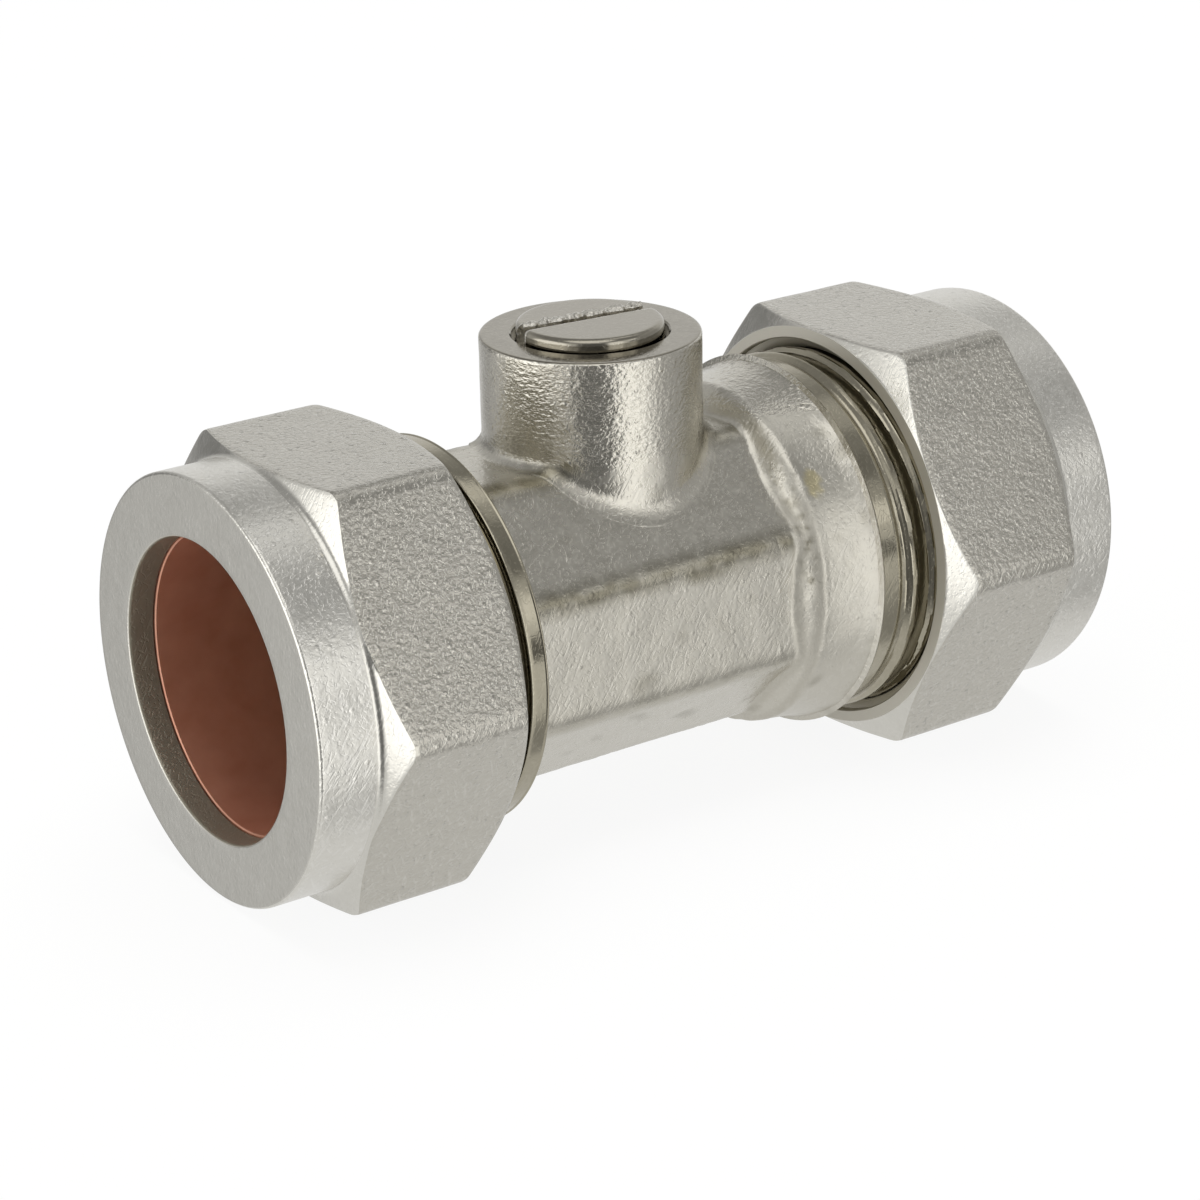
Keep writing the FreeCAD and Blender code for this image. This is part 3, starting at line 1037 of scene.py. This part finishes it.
@dataclass
class CompressionNut:
    """Six-sided compression nut with a round collar, placed outwards from the spigot's end."""

    end: End
    spigot_end: float
    thread: Thread
    segments: int = 384
    sides: int = 6
    flat: float = 10.95
    corner: float = 1.1
    rear: float = -4.15
    face: float = 7.498
    rear_rise: float = 0.26
    rear_radius: float = 10.75
    rear_slope: float = 60.0
    collar_start: float = 4.48
    collar_radius: float = 10.85
    cove_radius: float = 0.5
    cove_slope: float = 62.0
    chamfer_rows: float = 1.2
    cove_rows: float = 1.0
    face_round: float = 0.18
    hole_radius: float = 7.65
    hole_round: float = 0.15
    cone_start: float = 3.739
    cone_end: float = 6.08
    cone_end_radius: float = 7.94
    bore_radius: float = 9.82
    mouth_radius: float = 10.25
    mouth_depth: float = 1.0
    mouth_round: float = 0.06
    thread_gap: float = 0.07
    thread_run_out: float = 0.4
    same_radius: float = 0.001
    edge_blend: float = 0.12
    swell_depth: float = 0.02
    swell_grain: float = 0.4
    # Steps between rows, and margins that keep rows clear of an edge
    flats_margin: float = 0.02
    chamfer_step: float = 0.08
    flat_step: float = 0.16
    cove_step: float = 0.07
    cove_margin: float = 0.1
    collar_step: float = 0.4
    face_margin: float = 0.2
    hole_margin: float = 0.5
    cone_margin: float = 0.05
    cone_steps: int = 4
    bore_margin: float = 0.2
    bore_step: float = 0.15
    mouth_bevel: float = 0.1
    least_rise: float = 0.02
    rear_inset: float = 0.06
    # Bounds between the finishes
    hole_bound: float = 0.05
    face_bound: float = 0.02
    mouth_bound: float = 0.02

    def hexagon(self, angle: float) -> float:
        """Radius of the hexagon at an angle from the top."""
        return polygon_radius(angle, self.sides, self.flat, self.corner)

    def rear_cone(self, out: float) -> float:
        """Radius of the turned chamfer behind the flats."""
        beyond = out - self.rear - self.rear_rise
        return self.rear_radius + beyond * tan(radians(self.rear_slope))

    def rear_edge(self, hexagon: float) -> float:
        """Place where the chamfer reaches a radius of the hexagon."""
        rise = max(hexagon - self.rear_radius, self.least_rise)
        return self.rear + self.rear_rise + rise / tan(radians(self.rear_slope))

    def front_edge(self, hexagon: float) -> float:
        """Place where the cove reaches a radius of the hexagon.

        Args:
            hexagon: Radius of the hexagon.

        Returns:
            Place outwards from the spigot's end.
        """
        slope = radians(self.cove_slope)
        rise = hexagon - self.collar_radius
        bend = self.cove_radius * (1 - cos(slope))
        if rise <= bend:
            return self.collar_start - sqrt(self.cove_radius**2 - (self.cove_radius - rise) ** 2)
        return self.collar_start - self.cove_radius * sin(slope) - (rise - bend) / tan(slope)

    def row_place(self, blank: float, hexagon: float) -> float:
        """Place of a blank's row along the nut, so that both edges of a flat run along rows.

        Args:
            blank: Place of the row on the blank.
            hexagon: Radius of the hexagon at the row's angle.

        Returns:
            Place of the row on the finished nut.
        """
        start = self.rear + self.rear_rise
        end = self.collar_start + self.cove_margin
        stops = [(start, start), (self.rear + self.chamfer_rows, self.rear_edge(hexagon)),
                 (self.collar_start - self.cove_rows, self.front_edge(hexagon)), (end, end)]
        for (low, low_place), (high, high_place) in zip(stops, stops[1:]):
            if blank <= high:
                return low_place + (blank - low) * (high_place - low_place) / (high - low)
        return blank

    def cove(self, out: float) -> float:
        """Radius of the collar and of the hollow that leads from it up to the corners.

        Args:
            out: Place outwards from the spigot's end.

        Returns:
            Radius there.
        """
        back = self.collar_start - out
        slope = radians(self.cove_slope)
        if back <= 0:
            return self.collar_radius
        if back <= self.cove_radius * sin(slope):
            return self.collar_radius + self.cove_radius - sqrt(self.cove_radius**2 - back**2)
        rise = self.cove_radius * (1 - cos(slope))
        return self.collar_radius + rise + (back - self.cove_radius * sin(slope)) * tan(slope)

    def rows(self) -> list[Row]:
        """Closed profile from the rear face round the outside, the face and the bore.

        Returns:
            The rows in order.
        """
        flats_start = self.rear + self.rear_rise
        chamfer_end = self.rear + self.chamfer_rows
        cove_start = self.collar_start - self.cove_rows
        rim = self.face - self.face_round
        rim_radius = self.collar_radius - self.face_round
        hole_rim = self.hole_radius + self.hole_round
        mouth_end = self.rear + self.mouth_depth
        bevel = self.mouth_bevel
        rows = [(self.rear, self.mouth_radius + self.mouth_round)]
        rows += [(flats_start - self.flats_margin, self.rear_radius)]
        rows += level(self.flat, flats_start + self.flats_margin, chamfer_end, self.chamfer_step)
        rows += level(self.flat, chamfer_end, cove_start, self.flat_step)[1:]
        rows += level(self.flat, cove_start, self.collar_start + self.cove_margin, self.cove_step)[1:]
        rows += level(self.collar_radius, self.collar_start + self.collar_step, rim, self.collar_step)
        rows += arc((rim, rim_radius), self.face_round, 80, 0, 8)
        rows += [(self.face, radius)
                 for radius in stations(rim_radius - self.face_margin, hole_rim, self.collar_step)]
        rows += arc((self.face - self.hole_round, hole_rim), self.hole_round, -10, -90, 5)
        rows += [(self.face - self.hole_margin, self.hole_radius)]
        rows += [(self.cone_end + self.cone_margin, self.hole_radius)]
        for step in range(self.cone_steps + 1):
            part = step / self.cone_steps
            rows.append((self.cone_end + (self.cone_start - self.cone_end) * part,
                         self.cone_end_radius + (self.bore_radius - self.cone_end_radius) * part))
        rows += level(self.bore_radius, self.cone_start - self.bore_margin, mouth_end + bevel, self.bore_step)
        rows += [(mouth_end, self.bore_radius + bevel), (mouth_end - bevel, self.mouth_radius)]
        rows += [(self.rear + self.mouth_round, self.mouth_radius)]
        rows.append(rows[0])
        return [(self.end.place(self.spigot_end, out), radius) for out, radius in rows]

    def finished(self, place: Vector, angle: float, radius: float) -> float:
        """Radius of the finished nut at a place of the spun blank, which moves along where a flat ends.

        Args:
            place: Place on the blank.
            angle: Angle from the top.
            radius: Radius of the blank there.

        Returns:
            Radius of the hexagon, chamfer, collar or thread there.
        """
        out = abs(place.x) - abs(self.spigot_end)
        if abs(radius - self.flat) < self.same_radius:
            swell = (noise(place * self.swell_grain) - 1.0) * self.swell_depth
            hexagon = self.hexagon(angle) + swell
            out = self.row_place(out, hexagon)
            place.x = self.end.place(self.spigot_end, out)
            cut = smooth_least(hexagon, self.rear_cone(out), self.edge_blend)
            return smooth_least(cut, self.cove(out), self.edge_blend)
        if abs(radius - self.rear_radius) < self.same_radius:
            return min(radius, self.hexagon(angle) - self.rear_inset)
        if abs(radius - self.bore_radius) < self.same_radius:
            run = min(self.cone_start - out, out - self.rear - self.mouth_depth)
            wanted = self.thread.radius(place) + self.thread_gap
            return radius + (wanted - radius) * min(max(run, 0.0) / self.thread_run_out, 1.0)
        return radius

    def finish_index(self, centre: Vector) -> int:
        """Number of the finish of a face.

        Args:
            centre: Middle of the face.

        Returns:
            0 for a flat, 1 for the thread, its mouth and the rear face, 2 for the collar, 3 for the hole,
            4 for the front face and the chamfers.
        """
        reach = hypot(centre.y, centre.z)
        out = abs(centre.x) - abs(self.spigot_end)
        if reach < self.hole_radius + self.hole_bound and out > self.cone_end:
            return 3
        if out > self.face - self.face_bound:
            return 4
        if reach < self.mouth_radius + self.mouth_bound or out < self.rear + self.rear_rise:
            return 1
        hexagon = self.hexagon(atan2(centre.y, centre.z))
        if hexagon < min(self.rear_cone(out), self.cove(out)):
            return 0
        return 2 if out > self.collar_start else 4

    def build(self, finishes: Sequence[Material]) -> Object:
        """Build and dress the nut.

        Args:
            finishes: Finishes of the flats, the thread, the collar, the hole, and the face with the chamfers.

        Returns:
            The nut's object.
        """
        mesh = spun(self.rows(), Axis.PIPE, self.segments)
        pull_to(mesh.verts, self.finished)
        close_shell(mesh)
        give_finishes(mesh, self.finish_index)
        piece = make_object(mesh, f"{self.end.word}_compression_nut", finishes)
        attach(piece, f"{self.end.word}_nut_group")
        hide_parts(f"{self.end.word}_nut")
        return piece


@dataclass
class Olive:
    """Copper ring that the nut squeezes on to the pipe."""

    end: End
    spigot_end: float
    back: float = -1.352
    front: float = 6.048
    bore: float = 7.55
    edge: float = 0.35
    thickness: float = 1.2
    softness: float = 0.06
    cone_angle: float = 30.0
    crest_drop: float = 0.02
    bore_step: float = 1.5
    bore_margin: float = 1.0
    segments: int = 192

    def build(self, copper: Material) -> Object:
        """Build and dress the olive.

        Args:
            copper: Finish of the ring.

        Returns:
            The olive's object.
        """
        rise = (self.thickness - self.edge) / tan(radians(self.cone_angle))
        outer = self.bore + self.thickness
        crest = outer - self.crest_drop
        rim = self.bore + self.edge
        soft = self.softness
        rows = [(self.front - soft, self.bore), (self.front, self.bore + soft), (self.front, rim - soft)]
        rows += [(self.front - soft, rim), (self.front - rise + soft, crest)]
        rows += [(self.front - rise - soft, outer), (self.back + rise + soft, outer)]
        rows += [(self.back + rise - soft, crest), (self.back + soft, rim), (self.back, rim - soft)]
        rows += [(self.back, self.bore + soft), (self.back + soft, self.bore)]
        rows += level(self.bore, self.back + self.bore_margin, self.front - self.bore_margin, self.bore_step)
        rows.append(rows[0])
        placed = [(self.end.place(self.spigot_end, out), radius) for out, radius in rows]
        mesh = spun(placed, Axis.PIPE, self.segments)
        close_shell(mesh)
        piece = make_object(mesh, f"{self.end.word}_copper_olive", [copper])
        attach(piece, f"{self.end.word}_olive_group")
        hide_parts(f"{self.end.word}_olive")
        return piece


@dataclass
class SlottedStem:
    """Stem that a screwdriver turns: flange, two seal grooves, tang and slotted head."""

    radius: float = 3.75
    top: float = 14.32
    head_round: float = 0.3
    slot_width: float = 1.0
    slot_depth: float = 1.1
    slot_offset: float = 0.45
    slot_turn: float = -6.0
    flange_radius: float = 4.6
    flange_bottom: float = 6.55
    flange_top: float = 7.45
    groove_floor: float = 2.79
    groove_width: float = 1.3
    groove_heights: tuple[float, float] = (9.1, 11.1)
    tang_width: float = 2.2
    tang_length: float = 5.6
    tang_bottom: float = 4.85
    burr_radius: float = 0.2
    burr_length: float = 6.8
    burr_inset: float = 0.14
    burr_lift: float = -0.06
    burr_cuts: int = 90
    burr_sides: int = 8
    burr_stretch: float = 1.1
    head_step: float = 0.4
    head_margin: float = 0.2
    sawn_margin: float = 0.08
    sawn_depth: float = 0.05
    segments: int = 128
    # Sizes of the burr's swells and of its sway, each with its count in a millimetre
    burr_swells: tuple[Row, ...] = ((0.9, 1.2), (0.6, 4.0))
    burr_sway: Row = (0.12, 2.2)

    def shaft_rows(self) -> list[Row]:
        """Rows of the turned shaft, from its flange to the floor of the slot.

        Returns:
            The rows in order.
        """
        rows = [(self.flange_bottom, 0.0), (self.flange_bottom, self.flange_radius)]
        rows += [(self.flange_top, self.flange_radius), (self.flange_top, self.radius)]
        for height in self.groove_heights:
            low = height - self.groove_width / 2
            high = height + self.groove_width / 2
            rows += [(low, self.radius), (low, self.groove_floor)]
            rows += [(high, self.groove_floor), (high, self.radius)]
        floor = self.top - self.slot_depth
        rows += [(floor, self.radius), (floor, 0.0)]
        return rows

    def half_head(self, front: bool) -> BMesh:
        """Build the part of the head on one side of the slot.

        Args:
            front: Whether it is the side nearer the front.

        Returns:
            Closed mesh of that part, before the slot's turn.
        """
        edge_round = self.head_round
        rows = [(self.top - self.slot_depth, 0.0), (self.top - self.slot_depth, self.radius)]
        rows += arc((self.top - edge_round, self.radius - edge_round), edge_round, 90, 0, 7)
        rows += [(self.top, radius)
                 for radius in stations(self.radius - edge_round - self.head_margin, 0.0, self.head_step)]
        mesh = spun(rows, Axis.STEM, self.segments)
        edge = self.slot_offset + (-0.5 if front else 0.5) * self.slot_width
        bmesh.ops.bisect_plane(mesh, geom=[*mesh.verts, *mesh.edges, *mesh.faces], plane_co=(0, edge, 0),
                               plane_no=(0, 1 if front else -1, 0), clear_outer=True)
        bmesh.ops.edgenet_fill(mesh, edges=[side for side in mesh.edges if side.is_boundary])
        return mesh

    def burr(self) -> BMesh:
        """Build the ragged bead that the saw raised along the slot's back edge, before the slot's turn.

        Returns:
            Closed mesh of the bead.
        """
        mesh = bmesh.new()
        edge = self.slot_offset + self.slot_width / 2 - self.burr_inset
        middle = self.top + self.burr_lift
        lay = Matrix.Translation((0, edge, middle)) @ Matrix.Rotation(pi / 2, 4, "Y")
        bmesh.ops.create_cone(mesh, cap_ends=True, segments=self.burr_sides, radius1=self.burr_radius,
                              radius2=self.burr_radius, depth=self.burr_length, matrix=lay)
        long_edges = [e for e in mesh.edges if abs(e.verts[0].co.x - e.verts[1].co.x) > self.burr_length / 2]
        bmesh.ops.subdivide_edges(mesh, edges=long_edges, cuts=self.burr_cuts, use_grid_fill=True)
        sway, sway_grain = self.burr_sway
        for vertex in mesh.verts:
            place = vertex.co
            along = Vector((place.x * self.burr_stretch, edge, 0.0))
            swell = 1.0 + sum(size * noise(along * grain) for size, grain in self.burr_swells)
            place.y = edge + (place.y - edge) * swell + sway * noise(along * sway_grain)
            place.z = middle + (place.z - middle) * swell
        return mesh

    def finish_index(self, centre: Vector) -> int:
        """Number of the finish of a face.

        Args:
            centre: Middle of the face.

        Returns:
            1 in the slot and on its burr, 0 elsewhere.
        """
        place = Matrix.Rotation(radians(-self.slot_turn), 3, "Z") @ centre
        in_slot = abs(place.y - self.slot_offset) < self.slot_width / 2 + self.sawn_margin
        return 1 if in_slot and place.z > self.top - self.slot_depth - self.sawn_depth else 0

    def build(self, turned: Material, sawn: Material) -> Object:
        """Build and dress the stem.

        Args:
            turned: Finish of the shaft and head.
            sawn: Finish of the slot and its burr.

        Returns:
            The stem's object.
        """
        mesh = spun(self.shaft_rows(), Axis.STEM, self.segments)
        box = Matrix.Translation((0, 0, (self.tang_bottom + self.flange_bottom) / 2))
        size = (self.tang_width, self.tang_length, self.flange_bottom - self.tang_bottom)
        bmesh.ops.create_cube(mesh, size=1.0, matrix=box @ Matrix.Diagonal((*size, 1.0)))
        turn = Matrix.Rotation(radians(self.slot_turn), 3, "Z")
        for part in (self.half_head(True), self.half_head(False), self.burr()):
            bmesh.ops.rotate(part, verts=part.verts, cent=(0, 0, 0), matrix=turn)
            join(mesh, part)
        close_shell(mesh)
        give_finishes(mesh, self.finish_index)
        piece = make_object(mesh, "slotted_stem", [turned, sawn])
        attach(piece, "spindle")
        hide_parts("stem")
        return piece


@dataclass(frozen=True)
class Panel:
    """Round light or dark panel of the studio, by its bearing from the front and its height in degrees."""

    bearing: float
    height: float
    inner: float
    outer: float
    level: float

    def direction(self) -> Vector:
        """Direction from the valve to the panel.

        Returns:
            The direction, of length 1.
        """
        bearing = radians(self.bearing)
        height = radians(self.height)
        across = cos(height)
        return Vector((sin(bearing) * across, -cos(bearing) * across, sin(height)))


@dataclass
class Studio:
    """Pale floor, soft light and the camera of the photograph, in the row frame."""

    camera_place: Vector = Vector((-96.42862, -137.35224, 75.64244))
    camera_target: Vector = Vector((-1.48336, -0.34797, 10.21084))
    camera_roll: float = -1.306
    lens: float = 104.008
    nearest_seen: float = 0.01
    floor_size: float = 6.0
    floor_drop: float = 0.00005
    floor_glow: float = 0.90
    floor_colour: str = "#F4F4F2"
    floor_roughness: float = 0.9
    lamp_power: float = 2.2
    lamp_size: float = 0.5
    lamp_place: tuple[float, float, float] = (0.05, 0.05, 0.6)
    # Grey levels of the walls by bearing and of the ceiling by height, in degrees, and of the room below
    walls: tuple[Row, ...] = (
        (-180, 0.46), (-158, 0.46), (-146, 0.66), (-130, 0.66), (-58, 0.80), (-52, 0.30), (-45, 0.17),
        (-18, 0.17), (-11, 0.30), (-4, 1.5), (12, 1.65), (20, 0.98), (30, 0.95), (37, 0.86), (42, 0.54),
        (47, 0.40), (75, 0.44), (92, 0.5), (104, 0.76), (120, 0.85), (155, 0.85), (172, 0.55), (180, 0.46))
    ceiling: tuple[Row, ...] = ((0, 0.68), (27, 0.62), (40, 0.46), (50, 0.33), (70, 0.34), (90, 0.42))
    below: float = 0.76
    ceiling_edge: tuple[float, float] = (0.35, 0.62)
    below_edge: tuple[float, float] = (-0.55, -0.8)
    panels: tuple[Panel, ...] = (
        Panel(bearing=-98.0, height=0.0, inner=22.0, outer=36.0, level=1.9),
        Panel(bearing=-164.0, height=3.0, inner=10.0, outer=18.0, level=0.22),
        Panel(bearing=-35.0, height=69.0, inner=16.0, outer=32.0, level=1.4),
        Panel(bearing=35.0, height=18.0, inner=4.0, outer=9.0, level=1.25),
        Panel(bearing=32.0, height=-1.0, inner=4.0, outer=8.0, level=0.2),
        Panel(bearing=48.0, height=42.0, inner=6.0, outer=12.0, level=0.28),
        Panel(bearing=97.0, height=60.0, inner=8.0, outer=18.0, level=0.6),
        Panel(bearing=108.0, height=63.0, inner=4.0, outer=11.0, level=1.0),
        Panel(bearing=50.0, height=-45.0, inner=5.0, outer=13.0, level=0.42))

    def add_camera(self) -> None:
        """Add the camera and make it the scene's."""
        data = bpy.data.cameras.new("camera")
        data.lens = self.lens
        data.clip_start = self.nearest_seen
        look = (self.camera_target - self.camera_place).to_track_quat("-Z", "Y").to_matrix()
        turned = look @ Matrix.Rotation(radians(self.camera_roll), 3, "Z")
        camera = bpy.data.objects.new("camera", data)
        camera.matrix_world = Matrix.Translation(self.camera_place * MM) @ turned.to_4x4()
        bpy.context.collection.objects.link(camera)
        bpy.context.scene.camera = camera

    def add_floor(self) -> None:
        """Add a floor that the camera sees as white with a faint shadow."""
        mesh = bmesh.new()
        bmesh.ops.create_grid(mesh, x_segments=1, y_segments=1, size=self.floor_size / 2)
        bmesh.ops.translate(mesh, verts=mesh.verts, vec=(0, 0, -self.floor_drop))
        data = bpy.data.meshes.new("floor")
        mesh.to_mesh(data)
        mesh.free()
        # Paper is matt white and takes a soft shadow
        material, surface = new_surface("paper floor", {
            "Base Color": linear(self.floor_colour), "Roughness": self.floor_roughness})
        tree = material.node_tree
        rays = add_node(tree, "LightPath")
        seen = add_node(tree, "Math", {0: rays.outputs["Is Camera Ray"], 1: self.floor_glow},
                        operation="MULTIPLY")
        white = add_node(tree, "Emission", {"Color": WHITE, "Strength": 1.0})
        mix = add_node(tree, "MixShader",
                       {0: seen.outputs[0], 1: surface.outputs[0], 2: white.outputs[0]})
        tree.links.new(mix.outputs[0], tree.nodes["Material Output"].inputs["Surface"])
        data.materials.append(material)
        floor = bpy.data.objects.new("floor", data)
        floor.visible_glossy = False
        bpy.context.collection.objects.link(floor)

    def grey_ramp(self, tree: NodeTree, value: NodeSocket,
                  stops: Sequence[Row]) -> NodeSocket:
        """Add a ramp of greys.

        Args:
            tree: Node tree that gets the ramp.
            value: Place on the ramp, from 0 to 1.
            stops: Places and grey levels in order.

        Returns:
            The ramp's colour.
        """
        node = add_node(tree, "ValToRGB", {"Fac": value})
        elements = node.color_ramp.elements
        while len(elements) < len(stops):
            elements.new(0.5)
        for element, (where, shade) in zip(elements, stops):
            element.position = where
            element.color = grey(shade)
        return node.outputs["Color"]

    def add_world(self) -> None:
        """Add the studio that the plate mirrors: a pale room with soft panels, and dim behind the camera."""
        world = bpy.data.worlds.new("studio")
        world.use_nodes = True
        tree = world.node_tree
        direction = add_node(tree, "TexCoord").outputs["Generated"]
        parts = add_node(tree, "SeparateXYZ", {0: direction})
        front = add_node(tree, "Math", {0: parts.outputs["Y"], 1: -1.0}, operation="MULTIPLY")
        height = parts.outputs["Z"]
        bearing = add_node(tree, "Math", {0: parts.outputs["X"], 1: front.outputs[0]},
                           operation="ARCTAN2")
        around = add_node(tree, "MapRange", {
            "Value": bearing.outputs[0], "From Min": -pi, "From Max": pi})
        wall = self.grey_ramp(tree, around.outputs["Result"],
                              [(a / 360 + 0.5, seen) for a, seen in self.walls])
        upwards = add_node(tree, "MapRange", {"Value": height, "From Min": -1.0, "From Max": 1.0})
        ceiling = self.grey_ramp(tree, upwards.outputs["Result"],
                                 [(sin(radians(a)) / 2 + 0.5, seen) for a, seen in self.ceiling])
        shade = wall
        for (start, end), zone in ((self.ceiling_edge, ceiling), (self.below_edge, grey(self.below))):
            reached = add_node(tree, "MapRange", {"Value": height, "From Min": start, "From Max": end},
                               interpolation_type="SMOOTHSTEP")
            shade = add_node(tree, "Mix", {0: reached.outputs["Result"], 6: shade, 7: zone},
                             data_type="RGBA").outputs[2]
        for panel in self.panels:
            toward = add_node(tree, "VectorMath", {0: direction, 1: panel.direction()},
                              operation="DOT_PRODUCT")
            inside = add_node(tree, "MapRange", {
                "Value": toward.outputs["Value"], "From Min": cos(radians(panel.outer)),
                "From Max": cos(radians(panel.inner))}, interpolation_type="SMOOTHSTEP")
            shade = add_node(tree, "Mix", {0: inside.outputs["Result"], 6: shade, 7: grey(panel.level)},
                             data_type="RGBA").outputs[2]
        rays = add_node(tree, "LightPath")
        shown = add_node(tree, "Mix", {0: rays.outputs["Is Camera Ray"], 6: shade, 7: WHITE},
                         data_type="RGBA")
        tree.links.new(shown.outputs[2], tree.nodes["Background"].inputs["Color"])
        bpy.context.scene.world = world

    def add_lamp(self) -> None:
        """Add one wide lamp overhead that draws the soft shadow on the floor."""
        data = bpy.data.lights.new("overhead softbox", "AREA")
        data.energy = self.lamp_power
        data.size = self.lamp_size
        lamp = bpy.data.objects.new("overhead softbox", data)
        lamp.location = self.lamp_place
        lamp.visible_glossy = False
        bpy.context.collection.objects.link(lamp)

    def build(self) -> None:
        """Set up the view, the camera, the floor and the light."""
        bpy.context.scene.view_settings.view_transform = "Standard"
        self.add_camera()
        self.add_floor()
        self.add_world()
        self.add_lamp()


def dress_inner_pieces() -> None:
    """Give the solids inside the valve their finishes."""
    # A chromed ball is a clear cool mirror, cut brass is yellow and lightly ringed
    chrome = PlainFinish("chrome plate, polished", "#D6D8DA", 0.08, 1.0).material()
    brass = PlainFinish("brass, turned", "#C8A45C", 0.28, 1.0).material()
    # PTFE is a waxy white, nitrile rubber a soft black
    ptfe = PlainFinish("PTFE, machined", "#EDEDE8", 0.45).material()
    rubber = PlainFinish("nitrile rubber, moulded", "#1C1C1C", 0.55).material()
    finishes = {
        "ball": chrome,
        "seat_retainer": brass,
        "seat_left": ptfe,
        "seat_right": ptfe,
        "stem_thrust_washer": ptfe,
        "stem_o_ring_lower": rubber,
        "stem_o_ring_upper": rubber}
    for node, finish in finishes.items():
        data = bpy.data.objects[node].data
        data.materials.clear()
        data.materials.append(finish)
        log.info("dressed %s with %s", node, finish.name)


def main() -> None:
    """Build every piece of the valve and the studio round it."""
    logging.basicConfig(level=logging.INFO)
    # Plate over a forged skin sparkles with small swells, specks and handling scratches
    forged = PlatedNickel("nickel plate on forged brass", worn=((RUBBED, "#918C7C"), (BARE, "#D6CBA2")),
                          contrast=0.2, roughness=0.27, matt=0.28, grain_depth=0.016, fleck_depth=0.010,
                          scratch_depth=0.005, scratch_shine=0.06).material()
    # The die drew the boss's side into fine level ripples
    rippled = PlatedNickel("nickel plate on forged boss", roughness=0.2, grain=0.2, grain_depth=0.055,
                           grain_stretch=(1.4, 1.4, 0.8), scratch_depth=0.004, scratch_shine=0.05).material()
    # Flats of the nuts keep a stippled skin, their collars are scuffed and their faces were smoothed
    flats = PlatedNickel("nickel plate on stippled flats", bright="#DCD9D0", dull="#ACA89C",
                         grain_depth=0.038, fleck_depth=0.026, scratch_depth=0.012).material()
    collar = PlatedNickel("nickel plate on scuffed collar", bright="#F4F2EC", dull="#CDCABF", roughness=0.3,
                          grain_depth=0.024, fleck_depth=0.016, scratch_depth=0.006).material()
    smooth = PlatedNickel("nickel plate on smoothed face", bright="#EAE8E1", dull="#C6C3B9",
                          grain_depth=0.008, mottle_depth=0.010, fleck_depth=0.006, scratch_depth=0.003,
                          scratch_shine=0.05).material()
    # Plate over turned brass is thin: it keeps the tool's fine rings and shows a yellower mirror
    plain = {"roughness": 0.11, "grain_depth": 0.002, "mottle_depth": 0.003, "fleck_depth": 0.0,
             "scratch_depth": 0.002, "scratch_shine": 0.1, "lathe_depth": 0.002}
    turned = PlatedNickel("nickel plate on turned brass", bright="#BEB8A6", dull="#948E7C",
                          **plain).material()
    head = PlatedNickel("nickel plate on turned stem", bright="#B0AB9E", dull="#8D887B",
                        lathe_axis=Axis.STEM, **plain).material()
    # The boss's top gets a darker copy of the turned plate: painted shade
    faced = PlatedNickel("nickel plate on faced boss", bright="#ACA79A", dull="#827D70", contrast=0.5,
                         lathe_axis=Axis.STEM, **plain).material()
    # A bored wall stays nearly bare and dull, so it scatters as well as mirrors
    bored = PlatedNickel("nickel plate on bored brass", bright="#A39D8D", dull="#7F7A6C", metallic=0.55,
                         lathe_depth=0.006, roughness=0.4, grain_depth=0.004, fleck_depth=0.0).material()
    # A saw leaves a torn, sparkling wall; its lighter colour is painted light that brightens the shaded slot
    sawn = PlatedNickel("nickel plate on sawn brass", bright="#F2EFE8", roughness=0.3, grain=0.2,
                        grain_depth=0.07).material()
    # A cut thread is rough, so it catches light from every side and shows no streaks
    cut = PlainFinish("nickel-plated brass, thread cut", "#C6C2B6", 0.45, 0.75).material()
    copper = TarnishedCopper().material()
    thread = Thread()
    body = ForgedBody(thread)
    log.info("built %s", body.build([forged, turned, rippled, faced]).name)
    log.info("built %s", SlottedStem().build(head, sawn).name)
    # The right nut's chamfer and mouth were turned less deep than the left one's
    left_nut = CompressionNut(End.LEFT, body.left_end, thread)
    right_nut = CompressionNut(End.RIGHT, body.right_end, thread, rear=-4.25, rear_rise=0.1,
                               rear_radius=10.88, mouth_depth=0.55)
    for nut in (left_nut, right_nut):
        log.info("built %s", nut.build([flats, cut, collar, bored, smooth]).name)
        log.info("built %s", Olive(nut.end, nut.spigot_end).build(copper).name)
    dress_inner_pieces()
    Studio().build()


if __name__ == "__main__":
    main()
